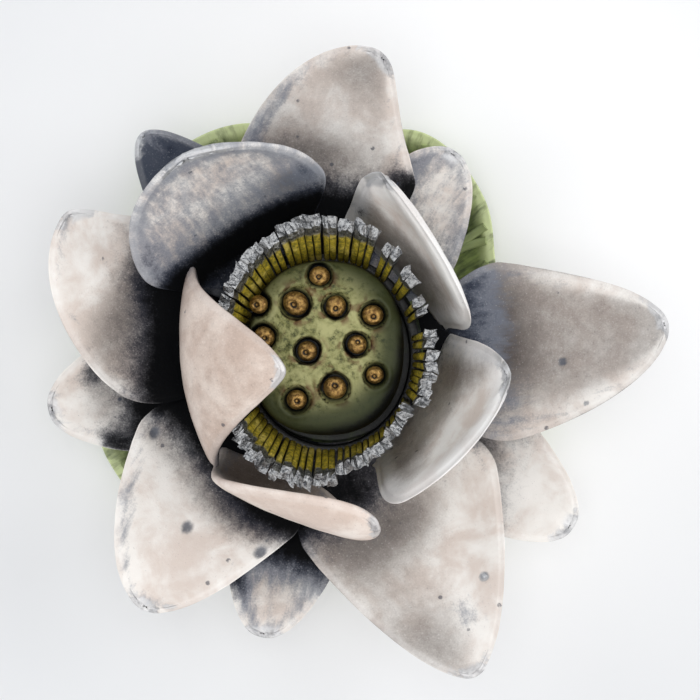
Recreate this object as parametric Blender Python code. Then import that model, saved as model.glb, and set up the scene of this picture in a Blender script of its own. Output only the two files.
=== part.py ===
"""A lotus blossom ornament: fifteen thick cast petals in three whorls round a seed pod, on a lotus leaf.

All sizes are in millimetres and degrees, and mesh_object() turns them into Blender's metres. +Z is up, the
flower's axis is the Z axis, and the origin is the middle of the leaf's flat underside. Azimuth 0 is +X.
"""

import math
import random
from dataclasses import dataclass

import bmesh
import bpy
from mathutils import Vector

MM = 0.001
CLEARANCE = 0.3

# Leaf
LEAF_THICKNESS = 2.6
LEAF_FOOT_RADIUS = 27.0
LEAF_BOSS_RADIUS = 11.0
LEAF_BOSS_HEIGHT = 5.0
LEAF_RIM_LIFT = 6.0
LEAF_RIM_WAVE = 1.8
LEAF_WAVES = 6
LEAF_REACH = (46.0, 38.6, 45.5, 49.5, 44.0, 51.3, 52.5, 46.5, 49.0, 52.5, 50.5, 46.0, 43.5, 47.0, 47.5, 47.5)

# Stalk and cup that carry the flower
CUP_PROFILE = ((9.0, 0.0), (8.4, 1.5), (9.8, 3.5), (10.4, 6.0), (12.0, 10.0), (12.6, 14.3), (15.8, 18.3), (18.6, 20.4),
               (18.6, 21.0))

# Seed pod
POD_CENTRE = (-0.8, 0.4)
POD_HALF_SIZE = (15.4, 17.2)
POD_TOP = 38.0
POD_SQUARENESS = 2.3
POD_PROFILE = ((0.66, -11.4), (0.86, -7.0), (0.98, -3.6), (1.0, -2.2), (0.95, -0.9), (0.82, -0.15), (0.5, 0.35))
SEED_PLACES = (
    (-2.0, 14.6), (-6.7, 9.2), (-14.0, 9.0), (1.2, 8.6), (8.5, 6.9), (-12.9, 2.6),
    (-4.4, -0.2), (5.4, 1.1), (8.9, -4.9), (1.0, -7.4), (-6.5, -9.8), (-12.4, -4.0),
)
SEED_RADIUS = 2.0
SOCKET_RADIUS = 2.7
SOCKET_DEPTH = 2.4
SEED_PROUD = 0.5
SEED_SUNK = 0.8
SEED_PROFILE = ((0.8, 0.0), (1.0, 0.5), (0.92, 0.77), (0.62, 0.95), (0.3, 1.0), (0.2, 0.86))

# Stamens: (azimuth of the first filament, filaments, how far the group leans out)
STAMEN_GROUPS = (
    (352.0, 4, 0.15), (12.0, 4, 0.1), (31.0, 4, 0.15), (50.0, 3, 0.3), (65.0, 7, 0.75), (97.0, 5, 0.9),
    (120.0, 6, 0.9), (147.0, 6, 0.85), (174.0, 6, 0.7), (201.0, 5, 0.7), (223.0, 5, 0.9), (245.0, 4, 1.0),
    (263.0, 3, 1.0), (278.0, 8, 0.8), (313.0, 5, 0.8), (335.0, 3, 1.0),
)
STAMEN_CENTRE = (-0.2, -1.0)
STAMEN_ROOT = (16.5, 18.4)
STAMEN_TIP = (20.6, 25.0)
STAMEN_SPREAD = 1.6
STAMEN_BASE = 26.7
STAMEN_RIM = 30.0
STAMEN_TOP = 43.0
STAMEN_PITCH = 4.4
STAMEN_THICKNESS = 1.5
STAMEN_FILL = 0.8

# Petals
CLAW = 1.6  # more keeps a petal narrow for longer above its root
PETAL_ROWS = 12
PETAL_COLUMNS = 8
WALK_STEPS = 48


@dataclass(frozen=True)
class Petal:
    """One petal: a cupped blade round a middle line that climbs, curls and sways from its root."""

    name: str
    azimuth: float  # where the root sits round the axis
    root: tuple  # radius and height of the root's middle
    length: float  # along the middle line
    width: float  # across the widest place
    lift: float  # slope of the middle line at the root, above level
    curl: float  # turn towards the inner face, from root to tip
    cup: float  # slope of the cross-section at its sides
    lean: float = 0.0  # turn of the whole blade in its own plane, anticlockwise
    sway: float = 0.0  # the same turn, growing from root to tip
    sway_late: float = 1.0  # more leaves the sway to the tip
    curl_late: float = 1.0  # more leaves the curl to the tip
    roll: float = 0.0  # turn of the cross-section about the middle line, from root to tip
    aim: float = 0.0  # heading of the middle line at the root, from the azimuth
    widest: float = 0.42  # share of the length where it is widest
    fullness: float = 1.15  # more holds the width for longer towards the tip
    bluntness: float = 0.5  # less makes a rounder tip
    root_share: float = 0.35  # width of the root over the full width
    thickness: float = 2.3


PETALS = (
    Petal("petal_outer_1", -3, (13.3, 16), 57.5, 36, 13, 16, 24, sway=17),
    Petal("petal_outer_2", 93, (13.3, 16), 52.5, 37, 14, 20, 24, aim=2, sway=-57, sway_late=2.3, widest=0.47),
    Petal("petal_outer_3", 167.3, (13.5, 17.8), 51.8, 39.5, 13, 24, 24, aim=2, sway=-58, sway_late=2.0, widest=0.47,
          bluntness=0.58),
    Petal("petal_outer_4", 225.7, (13, 15.5), 53.7, 38.5, 12, 15, 24, sway=20, widest=0.44),
    Petal("petal_outer_5", 294, (12, 12.7), 62.3, 43, 12, 15, 24, widest=0.39, bluntness=0.6),
    Petal("petal_back_1", 58, (11, 9), 37.5, 25, 8, 8, 20, bluntness=0.45, fullness=1.4),
    Petal("petal_back_2", 131.2, (11, 9), 49, 25, 8, 16, 30),
    Petal("petal_back_3", 192, (11, 9), 48.6, 30, 8, 8, 22, bluntness=0.45),
    Petal("petal_back_4", 256.5, (11, 9), 50, 28, 8, 8, 20, bluntness=0.45),
    Petal("petal_back_5", 323.5, (11, 9), 51, 29, 8, 6, 18, bluntness=0.45),
    Petal("petal_inner_1", 187, (23, 25), 41.5, 39, 40, 150, 20, aim=-2, lean=2, sway=14, sway_late=2.5, bluntness=0.7,
          fullness=1.0, widest=0.34, root_share=0.5, thickness=2.8),
    Petal("petal_inner_2", 235.4, (27.4, 22.9), 40.1, 29, 51, 59, 22, aim=21, lean=4, sway=60, sway_late=0.66, roll=-48,
          curl_late=1.06, widest=0.46, root_share=0.45, thickness=2.8),
    Petal("petal_inner_3", 308.5, (22.4, 25), 36, 39, 67, 8, 24, aim=12, lean=14, sway=44, sway_late=0.7, roll=14,
          root_share=0.38, thickness=2.8),
    Petal("petal_inner_4", 29.3, (22, 25), 35, 38, 71, 8, 24, aim=7, lean=14, sway=50, sway_late=0.7,
          root_share=0.38, thickness=3.0),
    Petal("petal_inner_5", 128.6, (21.8, 24.3), 37.8, 41, 32, 34, 20, aim=-5, roll=-10, fullness=1.8, bluntness=0.45,
          root_share=0.5, thickness=2.6),
)

PALETTE = {
    "petal": ((0.58, 0.51, 0.48), 0.42, 0.25),
    "leaf": ((0.16, 0.24, 0.06), 0.5, 0.2),
    "cup": ((0.10, 0.14, 0.05), 0.55, 0.2),
    "pod": ((0.22, 0.25, 0.09), 0.5, 0.2),
    "seed": ((0.36, 0.24, 0.09), 0.35, 0.7),
    "stamen": ((0.33, 0.25, 0.04), 0.45, 0.4),
}


def finish(name):
    """The Blender material of a finish in PALETTE, made once."""
    made = bpy.data.materials.get(name)
    if made:
        return made
    made = bpy.data.materials.new(name)
    made.use_nodes = True
    colour, roughness, metallic = PALETTE[name]
    shader = made.node_tree.nodes["Principled BSDF"]
    shader.inputs["Base Color"].default_value = (*colour, 1.0)
    shader.inputs["Roughness"].default_value = roughness
    shader.inputs["Metallic"].default_value = metallic
    return made


def mesh_object(name, points, faces, finish_name):
    """A smooth-shaded object from points in millimetres and faces that point out."""
    mesh = bpy.data.meshes.new(name)
    mesh.from_pydata([Vector(p) * MM for p in points], [], faces)
    mesh.materials.append(finish(finish_name))
    made = bpy.data.objects.new(name, mesh)
    bpy.context.scene.collection.objects.link(made)
    bm = bmesh.new()
    bm.from_mesh(mesh)
    bmesh.ops.recalc_face_normals(bm, faces=bm.faces)
    bm.to_mesh(mesh)
    bm.free()
    mesh.shade_smooth()
    mesh.set_sharp_from_angle(angle=math.radians(50))
    return made


def lathe(rings, sides, place):
    """Points and faces of a closed turned body. Each ring is (radius, height); place(ring, angle) gives a point."""
    points = [place((0.0, rings[0][1]), 0.0)]
    for ring in rings:
        points += [place(ring, math.tau * k / sides) for k in range(sides)]
    points.append(place((0.0, rings[-1][1]), 0.0))
    faces = []
    for k in range(sides):
        after = (k + 1) % sides
        faces.append((0, 1 + after, 1 + k))
        for level in range(len(rings) - 1):
            low, high = 1 + level * sides, 1 + (level + 1) * sides
            faces.append((low + k, low + after, high + after, high + k))
        last = 1 + (len(rings) - 1) * sides
        faces.append((last + k, last + after, len(points) - 1))
    return points, faces


# Petals


def outline_share(petal, along):
    """Half-width at a share of the length, over the widest half-width."""
    if along < petal.widest:
        grown = math.sin(0.5 * math.pi * along / petal.widest) ** CLAW
        return petal.root_share + (1 - petal.root_share) * grown
    past = (along - petal.widest) / (1 - petal.widest)
    return max(0.0, 1 - past**petal.fullness) ** petal.bluntness


def middle_line(petal):
    """(point, across, inward) at WALK_STEPS + 1 even steps from the root to the tip."""
    out, heading, slope = (math.radians(a) for a in (petal.azimuth, petal.azimuth + petal.aim, petal.lift))
    point = Vector((petal.root[0] * math.cos(out), petal.root[0] * math.sin(out), petal.root[1]))
    ahead = Vector((math.cos(slope) * math.cos(heading), math.cos(slope) * math.sin(heading), math.sin(slope)))
    across = Vector((-math.sin(heading), math.cos(heading), 0.0))
    inward = ahead.cross(across)
    ahead, across = turned(ahead, across, petal.lean)
    found = [(point.copy(), across, inward)]
    for step in range(WALK_STEPS):
        here, after = step / WALK_STEPS, (step + 1) / WALK_STEPS
        ahead, inward = turned(ahead, inward, petal.curl * (after**petal.curl_late - here**petal.curl_late))
        ahead, across = turned(ahead, across, petal.sway * (after**petal.sway_late - here**petal.sway_late))
        across, inward = turned(across, inward, petal.roll / WALK_STEPS)
        point += ahead * (petal.length / WALK_STEPS)
        found.append((point.copy(), across, inward))
    return found


def turned(first, second, degrees):
    """Two square directions, after the first has turned towards the second."""
    angle = math.radians(degrees)
    return (
        first * math.cos(angle) + second * math.sin(angle),
        second * math.cos(angle) - first * math.sin(angle),
    )


def blade_point(petal, line, along, side):
    """A point of the petal's middle surface: along is 0 at the root and 1 at the tip, side is -1 to 1."""
    step = min(along * WALK_STEPS, WALK_STEPS - 1e-6)
    index = int(step)
    point, across, inward = (a.lerp(b, step - index) for a, b in zip(line[index], line[index + 1]))
    half = 0.5 * petal.width * outline_share(petal, along)
    cup = math.radians(petal.cup)
    return point + across * (half * math.sin(cup * side) / cup) + inward * (half * (1 - math.cos(cup * side)) / cup)


def blade_normal(petal, line, along, side):
    """The direction from the petal's outer face to its inner face."""
    nudge = 0.01
    low, high = max(0.0, along - nudge), min(0.985, along + nudge)
    low = min(low, high - nudge)
    lengthwise = blade_point(petal, line, high, side) - blade_point(petal, line, low, side)
    here = min(along, 0.985)
    crosswise = blade_point(petal, line, here, side + nudge) - blade_point(petal, line, here, side - nudge)
    return lengthwise.cross(crosswise).normalized()


def petal_solid(petal, rows=PETAL_ROWS, columns=PETAL_COLUMNS):
    """Points and faces of the petal as a closed blade with a rounded rim."""
    line = middle_line(petal)
    shares = [1 - (1 - i / rows) ** 1.8 for i in range(rows)]
    sides = [math.sin(0.5 * math.pi * (2 * j / columns - 1)) for j in range(columns + 1)]
    half = 0.5 * petal.thickness
    points, inner, outer, rim = [], [], [], []
    for along in shares:
        middle = [blade_point(petal, line, along, side) for side in sides]
        normals = [blade_normal(petal, line, along, side) for side in sides]
        inner.append([len(points) + j for j in range(columns + 1)])
        points += [p + n * half for p, n in zip(middle, normals)]
        outer.append([len(points) + j for j in range(columns + 1)])
        points += [p - n * half for p, n in zip(middle, normals)]
        rim.append((len(points), len(points) + 1))
        for end, inside in ((0, 1), (columns, columns - 1)):
            outwards = (middle[end] - middle[inside]).normalized()
            points.append(middle[end] + outwards * half * 0.8)
    tip, tip_normal = blade_point(petal, line, 1.0, 0.0), blade_normal(petal, line, 1.0, 0.0)
    before = blade_point(petal, line, 0.97, 0.0)
    tip_inner, tip_outer, tip_rim = len(points), len(points) + 1, len(points) + 2
    points += [tip + tip_normal * half, tip - tip_normal * half, tip + (tip - before).normalized() * half * 0.8]
    faces = []
    for i in range(rows - 1):
        for j in range(columns):
            faces.append((inner[i][j], inner[i + 1][j], inner[i + 1][j + 1], inner[i][j + 1]))
            faces.append((outer[i][j], outer[i][j + 1], outer[i + 1][j + 1], outer[i + 1][j]))
        for end, edge in ((0, 0), (columns, 1)):
            faces.append((inner[i][end], rim[i][edge], rim[i + 1][edge], inner[i + 1][end]))
            faces.append((rim[i][edge], outer[i][end], outer[i + 1][end], rim[i + 1][edge]))
    last = rows - 1
    for j in range(columns):
        faces.append((inner[last][j], tip_inner, inner[last][j + 1]))
        faces.append((outer[last][j], outer[last][j + 1], tip_outer))
        faces.append((inner[0][j], inner[0][j + 1], outer[0][j + 1], outer[0][j]))
    for end, edge in ((0, 0), (columns, 1)):
        faces.append((inner[last][end], rim[last][edge], tip_rim, tip_inner))
        faces.append((rim[last][edge], outer[last][end], tip_outer, tip_rim))
        faces.append((inner[0][end], outer[0][end], rim[0][edge]))
    return points, faces


def make_petals():
    """The five outer, five back and five inner petals."""
    for petal in PETALS:
        mesh_object(petal.name, *petal_solid(petal), "petal")


# Leaf and cup


def leaf_reach(angle):
    """The leaf's radius at an angle, on a smooth closed curve through LEAF_REACH."""
    spot = angle / math.tau * len(LEAF_REACH)
    index, part = int(spot), spot - int(spot)
    a, b, c, d = (LEAF_REACH[(index + k) % len(LEAF_REACH)] for k in (-1, 0, 1, 2))
    return b + 0.5 * part * (c - a + part * (2 * a - 5 * b + 4 * c - d + part * (3 * (b - c) + d - a)))


def leaf_underside(radius, angle):
    """Height of the leaf's underside: flat on the foot, then rising to a waved rim."""
    out = max(0.0, (radius - LEAF_FOOT_RADIUS) / (leaf_reach(angle) - LEAF_FOOT_RADIUS))
    return out**1.7 * (LEAF_RIM_LIFT + LEAF_RIM_WAVE * math.cos(LEAF_WAVES * angle))


def make_leaf(sides=48):
    """The lotus leaf that everything stands on, with a boss in the middle for the stalk."""
    shares = (0.25, 0.5, 0.68, 0.82, 0.9, 1.0)

    def ring(share, lift, pull=0.0):
        found = []
        for k in range(sides):
            angle = math.tau * k / sides
            radius = LEAF_FOOT_RADIUS + (leaf_reach(angle) - LEAF_FOOT_RADIUS) * share
            height = leaf_underside(radius, angle) + lift
            found.append(((radius - pull) * math.cos(angle), (radius - pull) * math.sin(angle), height))
        return found

    def circle(radius, height):
        return [
            (radius * math.cos(math.tau * k / sides), radius * math.sin(math.tau * k / sides), height)
            for k in range(sides)
        ]

    rings = [circle(LEAF_FOOT_RADIUS, 0.0)]
    rings += [ring(share, 0.0) for share in shares[:-1]]
    rings += [ring(1.0, 0.3, 0.9), ring(1.0, 0.5 * LEAF_THICKNESS), ring(1.0, LEAF_THICKNESS - 0.3, 0.9)]
    rings += [ring(share, LEAF_THICKNESS) for share in reversed(shares[:-1])]
    rings += [circle(LEAF_FOOT_RADIUS, LEAF_THICKNESS), circle(LEAF_BOSS_RADIUS + 4, LEAF_THICKNESS + 0.4)]
    rings += [circle(LEAF_BOSS_RADIUS, LEAF_BOSS_HEIGHT - 0.6), circle(LEAF_BOSS_RADIUS - 1, LEAF_BOSS_HEIGHT)]
    points = [(0.0, 0.0, 0.0)] + [p for level in rings for p in level] + [(0.0, 0.0, LEAF_BOSS_HEIGHT)]
    faces = []
    for k in range(sides):
        after = (k + 1) % sides
        faces.append((0, 1 + after, 1 + k))
        for level in range(len(rings) - 1):
            low, high = 1 + level * sides, 1 + (level + 1) * sides
            faces.append((low + k, low + after, high + after, high + k))
        last = 1 + (len(rings) - 1) * sides
        faces.append((last + k, last + after, len(points) - 1))
    mesh_object("leaf", points, faces, "leaf")


def make_cup():
    """The stalk and the cup that the petals, stamens and pod are set on."""
    foot = LEAF_BOSS_HEIGHT + CLEARANCE
    rings = [(radius, foot + height) for radius, height in CUP_PROFILE]

    def place(ring, angle):
        return (ring[0] * math.cos(angle), ring[0] * math.sin(angle), ring[1])

    mesh_object("cup", *lathe(rings, 32, place), "cup")


# Pod and seeds


def pod_place(ring, angle):
    """A point of the pod: ring is (share of the full half-size, height above POD_TOP's plane)."""
    share, height = ring
    x, y = math.cos(angle), math.sin(angle)
    stretch = (abs(x) ** POD_SQUARENESS + abs(y) ** POD_SQUARENESS) ** (-1 / POD_SQUARENESS)
    return (
        POD_CENTRE[0] + POD_HALF_SIZE[0] * share * stretch * x,
        POD_CENTRE[1] + POD_HALF_SIZE[1] * share * stretch * y,
        POD_TOP + height,
    )


def upright_body(rings, sides, centre):
    """Points and faces of a turned body that stands upright at centre."""
    return lathe(rings, sides, lambda ring, angle: Vector((
        centre[0] + ring[0] * math.cos(angle), centre[1] + ring[0] * math.sin(angle), ring[1]
    )))


def fuse(body, title, operation, shapes, finish_name):
    """Cuts the shapes (points and faces) from the body, or joins them to it, in one Boolean that is applied."""
    others = bpy.data.collections.new(title)
    bpy.context.scene.collection.children.link(others)
    for points, faces in shapes:
        other = mesh_object(title, points, faces, finish_name)
        bpy.context.scene.collection.objects.unlink(other)
        others.objects.link(other)
    join = body.modifiers.new(title, "BOOLEAN")
    join.operation = operation
    join.operand_type = "COLLECTION"
    join.collection = others
    join.solver = "MANIFOLD"
    with bpy.context.temp_override(object=body, active_object=body):
        bpy.ops.object.modifier_apply(modifier=join.name)
    for other in list(others.objects):
        bpy.data.objects.remove(other)
    bpy.data.collections.remove(others)


def make_pod():
    """The seed pod: a socket cut for each seed, and in each socket a round seed with a small pit at its crown."""
    pod = mesh_object("seed_pod", *lathe(POD_PROFILE, 40, pod_place), "pod")
    socket = ((SOCKET_RADIUS, POD_TOP - SOCKET_DEPTH), (SOCKET_RADIUS, POD_TOP + 3.0))
    fuse(pod, "sockets", "DIFFERENCE", [upright_body(socket, 14, centre) for centre in SEED_PLACES], "pod")
    low = POD_TOP - SOCKET_DEPTH - SEED_SUNK
    high = POD_TOP + SEED_PROUD - low
    seed = tuple((share * SEED_RADIUS, low + level * high) for share, level in SEED_PROFILE)
    fuse(pod, "seeds", "UNION", [upright_body(seed, 10, centre) for centre in SEED_PLACES], "seed")


# Stamens


def stamen_ring_point(half_size, angle, height):
    """A point on one of the stamens' oval rings."""
    return Vector(
        (STAMEN_CENTRE[0] + half_size[0] * math.cos(angle), STAMEN_CENTRE[1] + half_size[1] * math.sin(angle), height)
    )


def filament(angle, lean, top):
    """Points and faces of one flat filament, bent outwards from the ring to its cut tip."""
    spread = STAMEN_SPREAD * lean
    tip_size = (STAMEN_TIP[0] - STAMEN_SPREAD + spread * 1.6, STAMEN_TIP[1] - STAMEN_SPREAD + spread * 1.6)
    levels = (
        (STAMEN_ROOT, STAMEN_BASE + 1.0),
        (tuple(0.55 * r + 0.45 * t for r, t in zip(STAMEN_ROOT, tip_size)), 0.5 * (STAMEN_RIM + top)),
        (tip_size, top),
    )
    points = []
    for half_size, height in levels:
        wide = math.radians(0.5 * STAMEN_PITCH * STAMEN_FILL)
        for thick in (0.0, STAMEN_THICKNESS):
            size = (half_size[0] + thick, half_size[1] + thick)
            points += [stamen_ring_point(size, angle + turn, height) for turn in (-wide, wide)]
    faces = [(0, 2, 3, 1), (8, 9, 11, 10)]
    for low in (0, 4):
        a, b, c, d = low, low + 1, low + 2, low + 3
        faces += [(a, b, b + 4, a + 4), (c, c + 4, d + 4, d), (a, a + 4, c + 4, c), (b, d, d + 4, b + 4)]
    return points, faces


def make_stamens():
    """The ring of stamens round the pod: filaments in groups, fused with the band that they grow from."""
    sides = 64
    inner, outer = (r - 0.4 for r in STAMEN_ROOT), (r + STAMEN_THICKNESS + 0.4 for r in STAMEN_ROOT)
    inner, outer = tuple(inner), tuple(outer)
    corners = ((inner, STAMEN_BASE), (outer, STAMEN_BASE), (outer, STAMEN_RIM), (inner, STAMEN_RIM))
    points = [stamen_ring_point(size, math.tau * k / sides, z) for k in range(sides) for size, z in corners]
    faces = []
    for k in range(sides):
        here, after = 4 * k, 4 * ((k + 1) % sides)
        faces += [(here + c, here + (c + 1) % 4, after + (c + 1) % 4, after + c) for c in range(4)]
    band = mesh_object("stamens", points, faces, "stamen")
    draw = random.Random(7)
    blades = []
    for first, count, lean in STAMEN_GROUPS:
        for k in range(count):
            angle = math.radians(first + STAMEN_PITCH * k)
            blades.append(filament(angle, lean, STAMEN_TOP + draw.uniform(-0.9, 0.5)))
    fuse(band, "filaments", "UNION", blades, "stamen")


def main():
    """Clears the scene and builds every piece."""
    for old in list(bpy.data.objects):
        bpy.data.objects.remove(old)
    make_leaf()
    make_cup()
    make_pod()
    make_stamens()
    make_petals()


main()
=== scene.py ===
"""Looks of the lotus flower ornament: cast, painted and patinated metal, on its lotus leaf.

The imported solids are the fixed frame.
"""

from __future__ import annotations

import logging
import math
import random
from dataclasses import dataclass, field
from enum import Enum
from typing import Callable, Sequence

import bmesh
import bpy
import numpy as np
from mathutils import Matrix, Vector
from mathutils.bvhtree import BVHTree

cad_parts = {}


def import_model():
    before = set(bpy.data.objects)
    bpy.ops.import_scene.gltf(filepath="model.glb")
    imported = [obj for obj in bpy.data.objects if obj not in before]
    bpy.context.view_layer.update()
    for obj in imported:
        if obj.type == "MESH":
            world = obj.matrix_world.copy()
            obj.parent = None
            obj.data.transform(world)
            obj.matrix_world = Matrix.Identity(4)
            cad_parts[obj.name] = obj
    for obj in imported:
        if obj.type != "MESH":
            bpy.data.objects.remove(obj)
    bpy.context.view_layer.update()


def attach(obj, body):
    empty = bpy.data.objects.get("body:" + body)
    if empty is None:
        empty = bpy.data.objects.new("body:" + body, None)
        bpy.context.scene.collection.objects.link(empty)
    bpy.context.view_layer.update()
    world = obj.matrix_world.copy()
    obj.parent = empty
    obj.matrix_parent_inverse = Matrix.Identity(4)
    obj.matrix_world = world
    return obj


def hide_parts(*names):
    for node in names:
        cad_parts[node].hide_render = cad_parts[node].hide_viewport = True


LOG = logging.getLogger("lotus")
MM = 0.001
Colour = tuple[float, float, float]
Points = np.ndarray


def srgb(red: float, green: float, blue: float) -> Colour:
    """A scene-linear colour from screen values of 0 to 255.

    Args:
        red: the screen value of red.
        green: the screen value of green.
        blue: the screen value of blue.

    Returns:
        The colour.
    """

    def linear(value: float) -> float:
        """One channel, made scene-linear."""
        share = value / 255
        return share / 12.92 if share <= 0.04045 else ((share + 0.055) / 1.055) ** 2.4

    return linear(red), linear(green), linear(blue)


# --- Node graphs ---


def math_operator(operation: str, swapped: bool = False) -> Callable[[Signal, Signal | float], Signal]:
    """An operator that adds one Math node, with its two values swapped where asked.

    Args:
        operation: the Math node's operation.
        swapped: whether the other value goes first, as in 1 - mask.

    Returns:
        The operator.
    """

    def run(self: Signal, other: Signal | float) -> Signal:
        """Adds the node."""
        return self.graph.math(operation, *((other, self) if swapped else (self, other)))

    return run


class Signal:
    """A number's socket that takes part in arithmetic: each operator adds one Math node."""

    __add__ = __radd__ = math_operator("ADD")
    __mul__ = __rmul__ = math_operator("MULTIPLY")
    __sub__, __rsub__ = math_operator("SUBTRACT"), math_operator("SUBTRACT", swapped=True)
    __truediv__, __rtruediv__ = math_operator("DIVIDE"), math_operator("DIVIDE", swapped=True)
    __pow__ = math_operator("POWER")
    most = math_operator("MAXIMUM")

    def __init__(self, graph: Graph, socket: bpy.types.NodeSocket) -> None:
        """Wraps an output socket of a node of the graph."""
        self.graph = graph
        self.socket = socket

    def swing(self, size: float) -> Signal:
        """A noise from 0 to 1 as a deviation about zero, which spans the size from end to end."""
        return (self - 0.5) * size


class Graph:
    """Adds nodes to a shader tree or to a geometry tree."""

    def __init__(self, tree: bpy.types.NodeTree) -> None:
        """Starts on a tree whose nodes are removed first."""
        self.tree = tree
        tree.nodes.clear()

    def add(self, kind: str, settings: dict[str, object] | None = None, **sockets: object) -> bpy.types.Node:
        """Adds one node of any type.

        Args:
            kind: the node's type name.
            settings: properties to set first.
            sockets: values or links by input name, with _ for a space; a name of the form in0 is
                the input at that index.

        Returns:
            The node.
        """
        node = self.tree.nodes.new(kind)
        for name, value in (settings or {}).items():
            setattr(node, name, value)
        for name, value in sockets.items():
            if name.startswith("in") and name[2:].isdigit():
                socket = node.inputs[int(name[2:])]
            else:
                socket = next(s for s in node.inputs if s.enabled and s.name == name.replace("_", " "))
            self.feed(socket, value)
        return node

    def result(
        self, kind: str, settings: dict[str, object] | None = None, **sockets: object,
    ) -> bpy.types.NodeSocket:
        """Adds one node, as add does, and gives its first output."""
        return self.add(kind, settings, **sockets).outputs[0]

    def feed(self, socket: bpy.types.NodeSocket, value: object) -> None:
        """Links a signal or a socket to an input, or sets a plain value on it.

        Args:
            socket: the input.
            value: a signal, a socket or a plain value.
        """
        if isinstance(value, Signal):
            value = value.socket
        if isinstance(value, bpy.types.NodeSocket):
            self.tree.links.new(value, socket)
        elif isinstance(value, tuple) and len(value) == 3 and socket.type == "RGBA":
            socket.default_value = (*value, 1.0)
        else:
            socket.default_value = value

    def math(self, operation: str, *values: Signal | float) -> Signal:
        """One Math node on the values."""
        sockets = {f"in{index}": value for index, value in enumerate(values)}
        return Signal(self, self.result("ShaderNodeMath", {"operation": operation}, **sockets))

    def vector(self, operation: str, *values: object, scale: float | None = None) -> bpy.types.NodeSocket:
        """One Vector Math node on the values.

        Args:
            operation: the node's operation.
            values: the vectors, in order.
            scale: the factor, where the operation is SCALE.

        Returns:
            The vector.
        """
        sockets = {f"in{index}": value for index, value in enumerate(values)}
        if scale is not None:
            sockets["in3"] = scale
        return self.result("ShaderNodeVectorMath", {"operation": operation}, **sockets)

    def step(self, value: Signal, low: float, high: float) -> Signal:
        """0 below low and 1 above high, with a soft rise between; low may be the larger.

        Args:
            value: the signal.
            low: where the rise starts.
            high: where it ends.

        Returns:
            The share, from 0 to 1.
        """
        if low > high:
            return 1.0 - self.step(value, high, low)
        return Signal(self, self.result(
            "ShaderNodeMapRange", {"interpolation_type": "SMOOTHSTEP"},
            Value=value, From_Min=float(low), From_Max=float(high),
        ))


class Shader(Graph):
    """A material's graph, with the patterns that cast and painted metal needs."""

    def __init__(self, name: str) -> None:
        """Makes the material and its Principled shader.

        Args:
            name: the material's name.
        """
        self.material = bpy.data.materials.new(name)
        self.material.use_nodes = True
        super().__init__(self.material.node_tree)
        self.surface = self.add("ShaderNodeBsdfPrincipled")
        self.add("ShaderNodeOutputMaterial", Surface=self.surface.outputs[0])
        where = self.add("ShaderNodeTexCoord")
        self.place = self.vector("SCALE", where.outputs["Object"], scale=1 / MM)
        self.chart = where.outputs["UV"]

    def attribute(self, name: str) -> Signal:
        """A number stored on the mesh."""
        return Signal(self, self.add("ShaderNodeAttribute", {"attribute_name": name}).outputs["Fac"])

    def strokes(self, share: float) -> bpy.types.NodeSocket:
        """The chart with its lengths cut to a share, so that a noise on it draws strokes along the part."""
        return self.result("ShaderNodeMapping", Vector=self.chart, Scale=(1.0, share, 1.0))

    def noise(
        self, size: float, detail: float = 2.0, rough: float = 0.5, bend: float = 0.0,
        source: bpy.types.NodeSocket | None = None, shift: float = 0.0,
    ) -> Signal:
        """Cloudy noise from 0 to 1.

        Args:
            size: the size of a cloud in millimetres.
            detail: how many finer layers are added.
            rough: how strong the finer layers are.
            bend: how far the noise warps itself.
            source: coordinates, or the place on the object where None.
            shift: moves the pattern, so that two noises of one size differ.

        Returns:
            The noise.
        """
        where = source or self.place
        if shift:
            where = self.vector("ADD", where, (shift, 1.7 * shift, 0.6 * shift))
        node = self.add(
            "ShaderNodeTexNoise", Vector=where, Scale=1 / size, Detail=detail, Roughness=rough,
            Distortion=bend,
        )
        return Signal(self, node.outputs["Fac"])

    def specks(self, spacing: float, shift: float) -> Signal:
        """Distance from the nearest of scattered points, in spacings.

        Args:
            spacing: how far apart the points are, in millimetres.
            shift: moves the pattern, in millimetres.

        Returns:
            The distance.
        """
        where = self.vector("ADD", self.place, (shift, shift, shift))
        node = self.add("ShaderNodeTexVoronoi", Vector=where, Scale=1 / spacing)
        return Signal(self, node.outputs["Distance"])

    def blend(
        self, share: Signal | float, low: object, high: object, how: str = "MIX",
    ) -> bpy.types.NodeSocket:
        """A colour between two, by a share.

        Args:
            share: how much of the second colour, from 0 to 1.
            low: the first colour.
            high: the second colour.
            how: the way the second one is laid on.

        Returns:
            The colour.
        """
        node = self.add(
            "ShaderNodeMix", {"data_type": "RGBA", "blend_type": how, "clamp_factor": True},
            in0=share, in6=low, in7=high,
        )
        return node.outputs[2]

    def relief(
        self, height: Signal, depth: float, under: bpy.types.NodeSocket | None = None,
    ) -> bpy.types.NodeSocket:
        """A bump of a depth in millimetres, over another where given.

        Args:
            height: the pattern that rises and falls.
            depth: its depth in millimetres.
            under: a bump that this one is laid over.

        Returns:
            The normal.
        """
        sockets: dict[str, object] = {"Height": height, "Distance": depth * MM, "Strength": 1.0}
        if under is not None:
            sockets["Normal"] = under
        return self.result("ShaderNodeBump", **sockets)

    def finish(
        self, colour: object, roughness: object, metallic: object = 0.0, **others: object,
    ) -> bpy.types.Material:
        """Feeds the Principled shader and gives the material.

        Args:
            colour: feeds Base Color.
            roughness: feeds Roughness.
            metallic: feeds Metallic.
            others: feed the sockets of their names, with _ for a space.

        Returns:
            The material.
        """
        self.feed(self.surface.inputs["Base Color"], colour)
        self.feed(self.surface.inputs["Roughness"], roughness)
        self.feed(self.surface.inputs["Metallic"], metallic)
        for name, value in others.items():
            self.feed(self.surface.inputs[name.replace("_", " ")], value)
        return self.material


# --- Finishes ---


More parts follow.
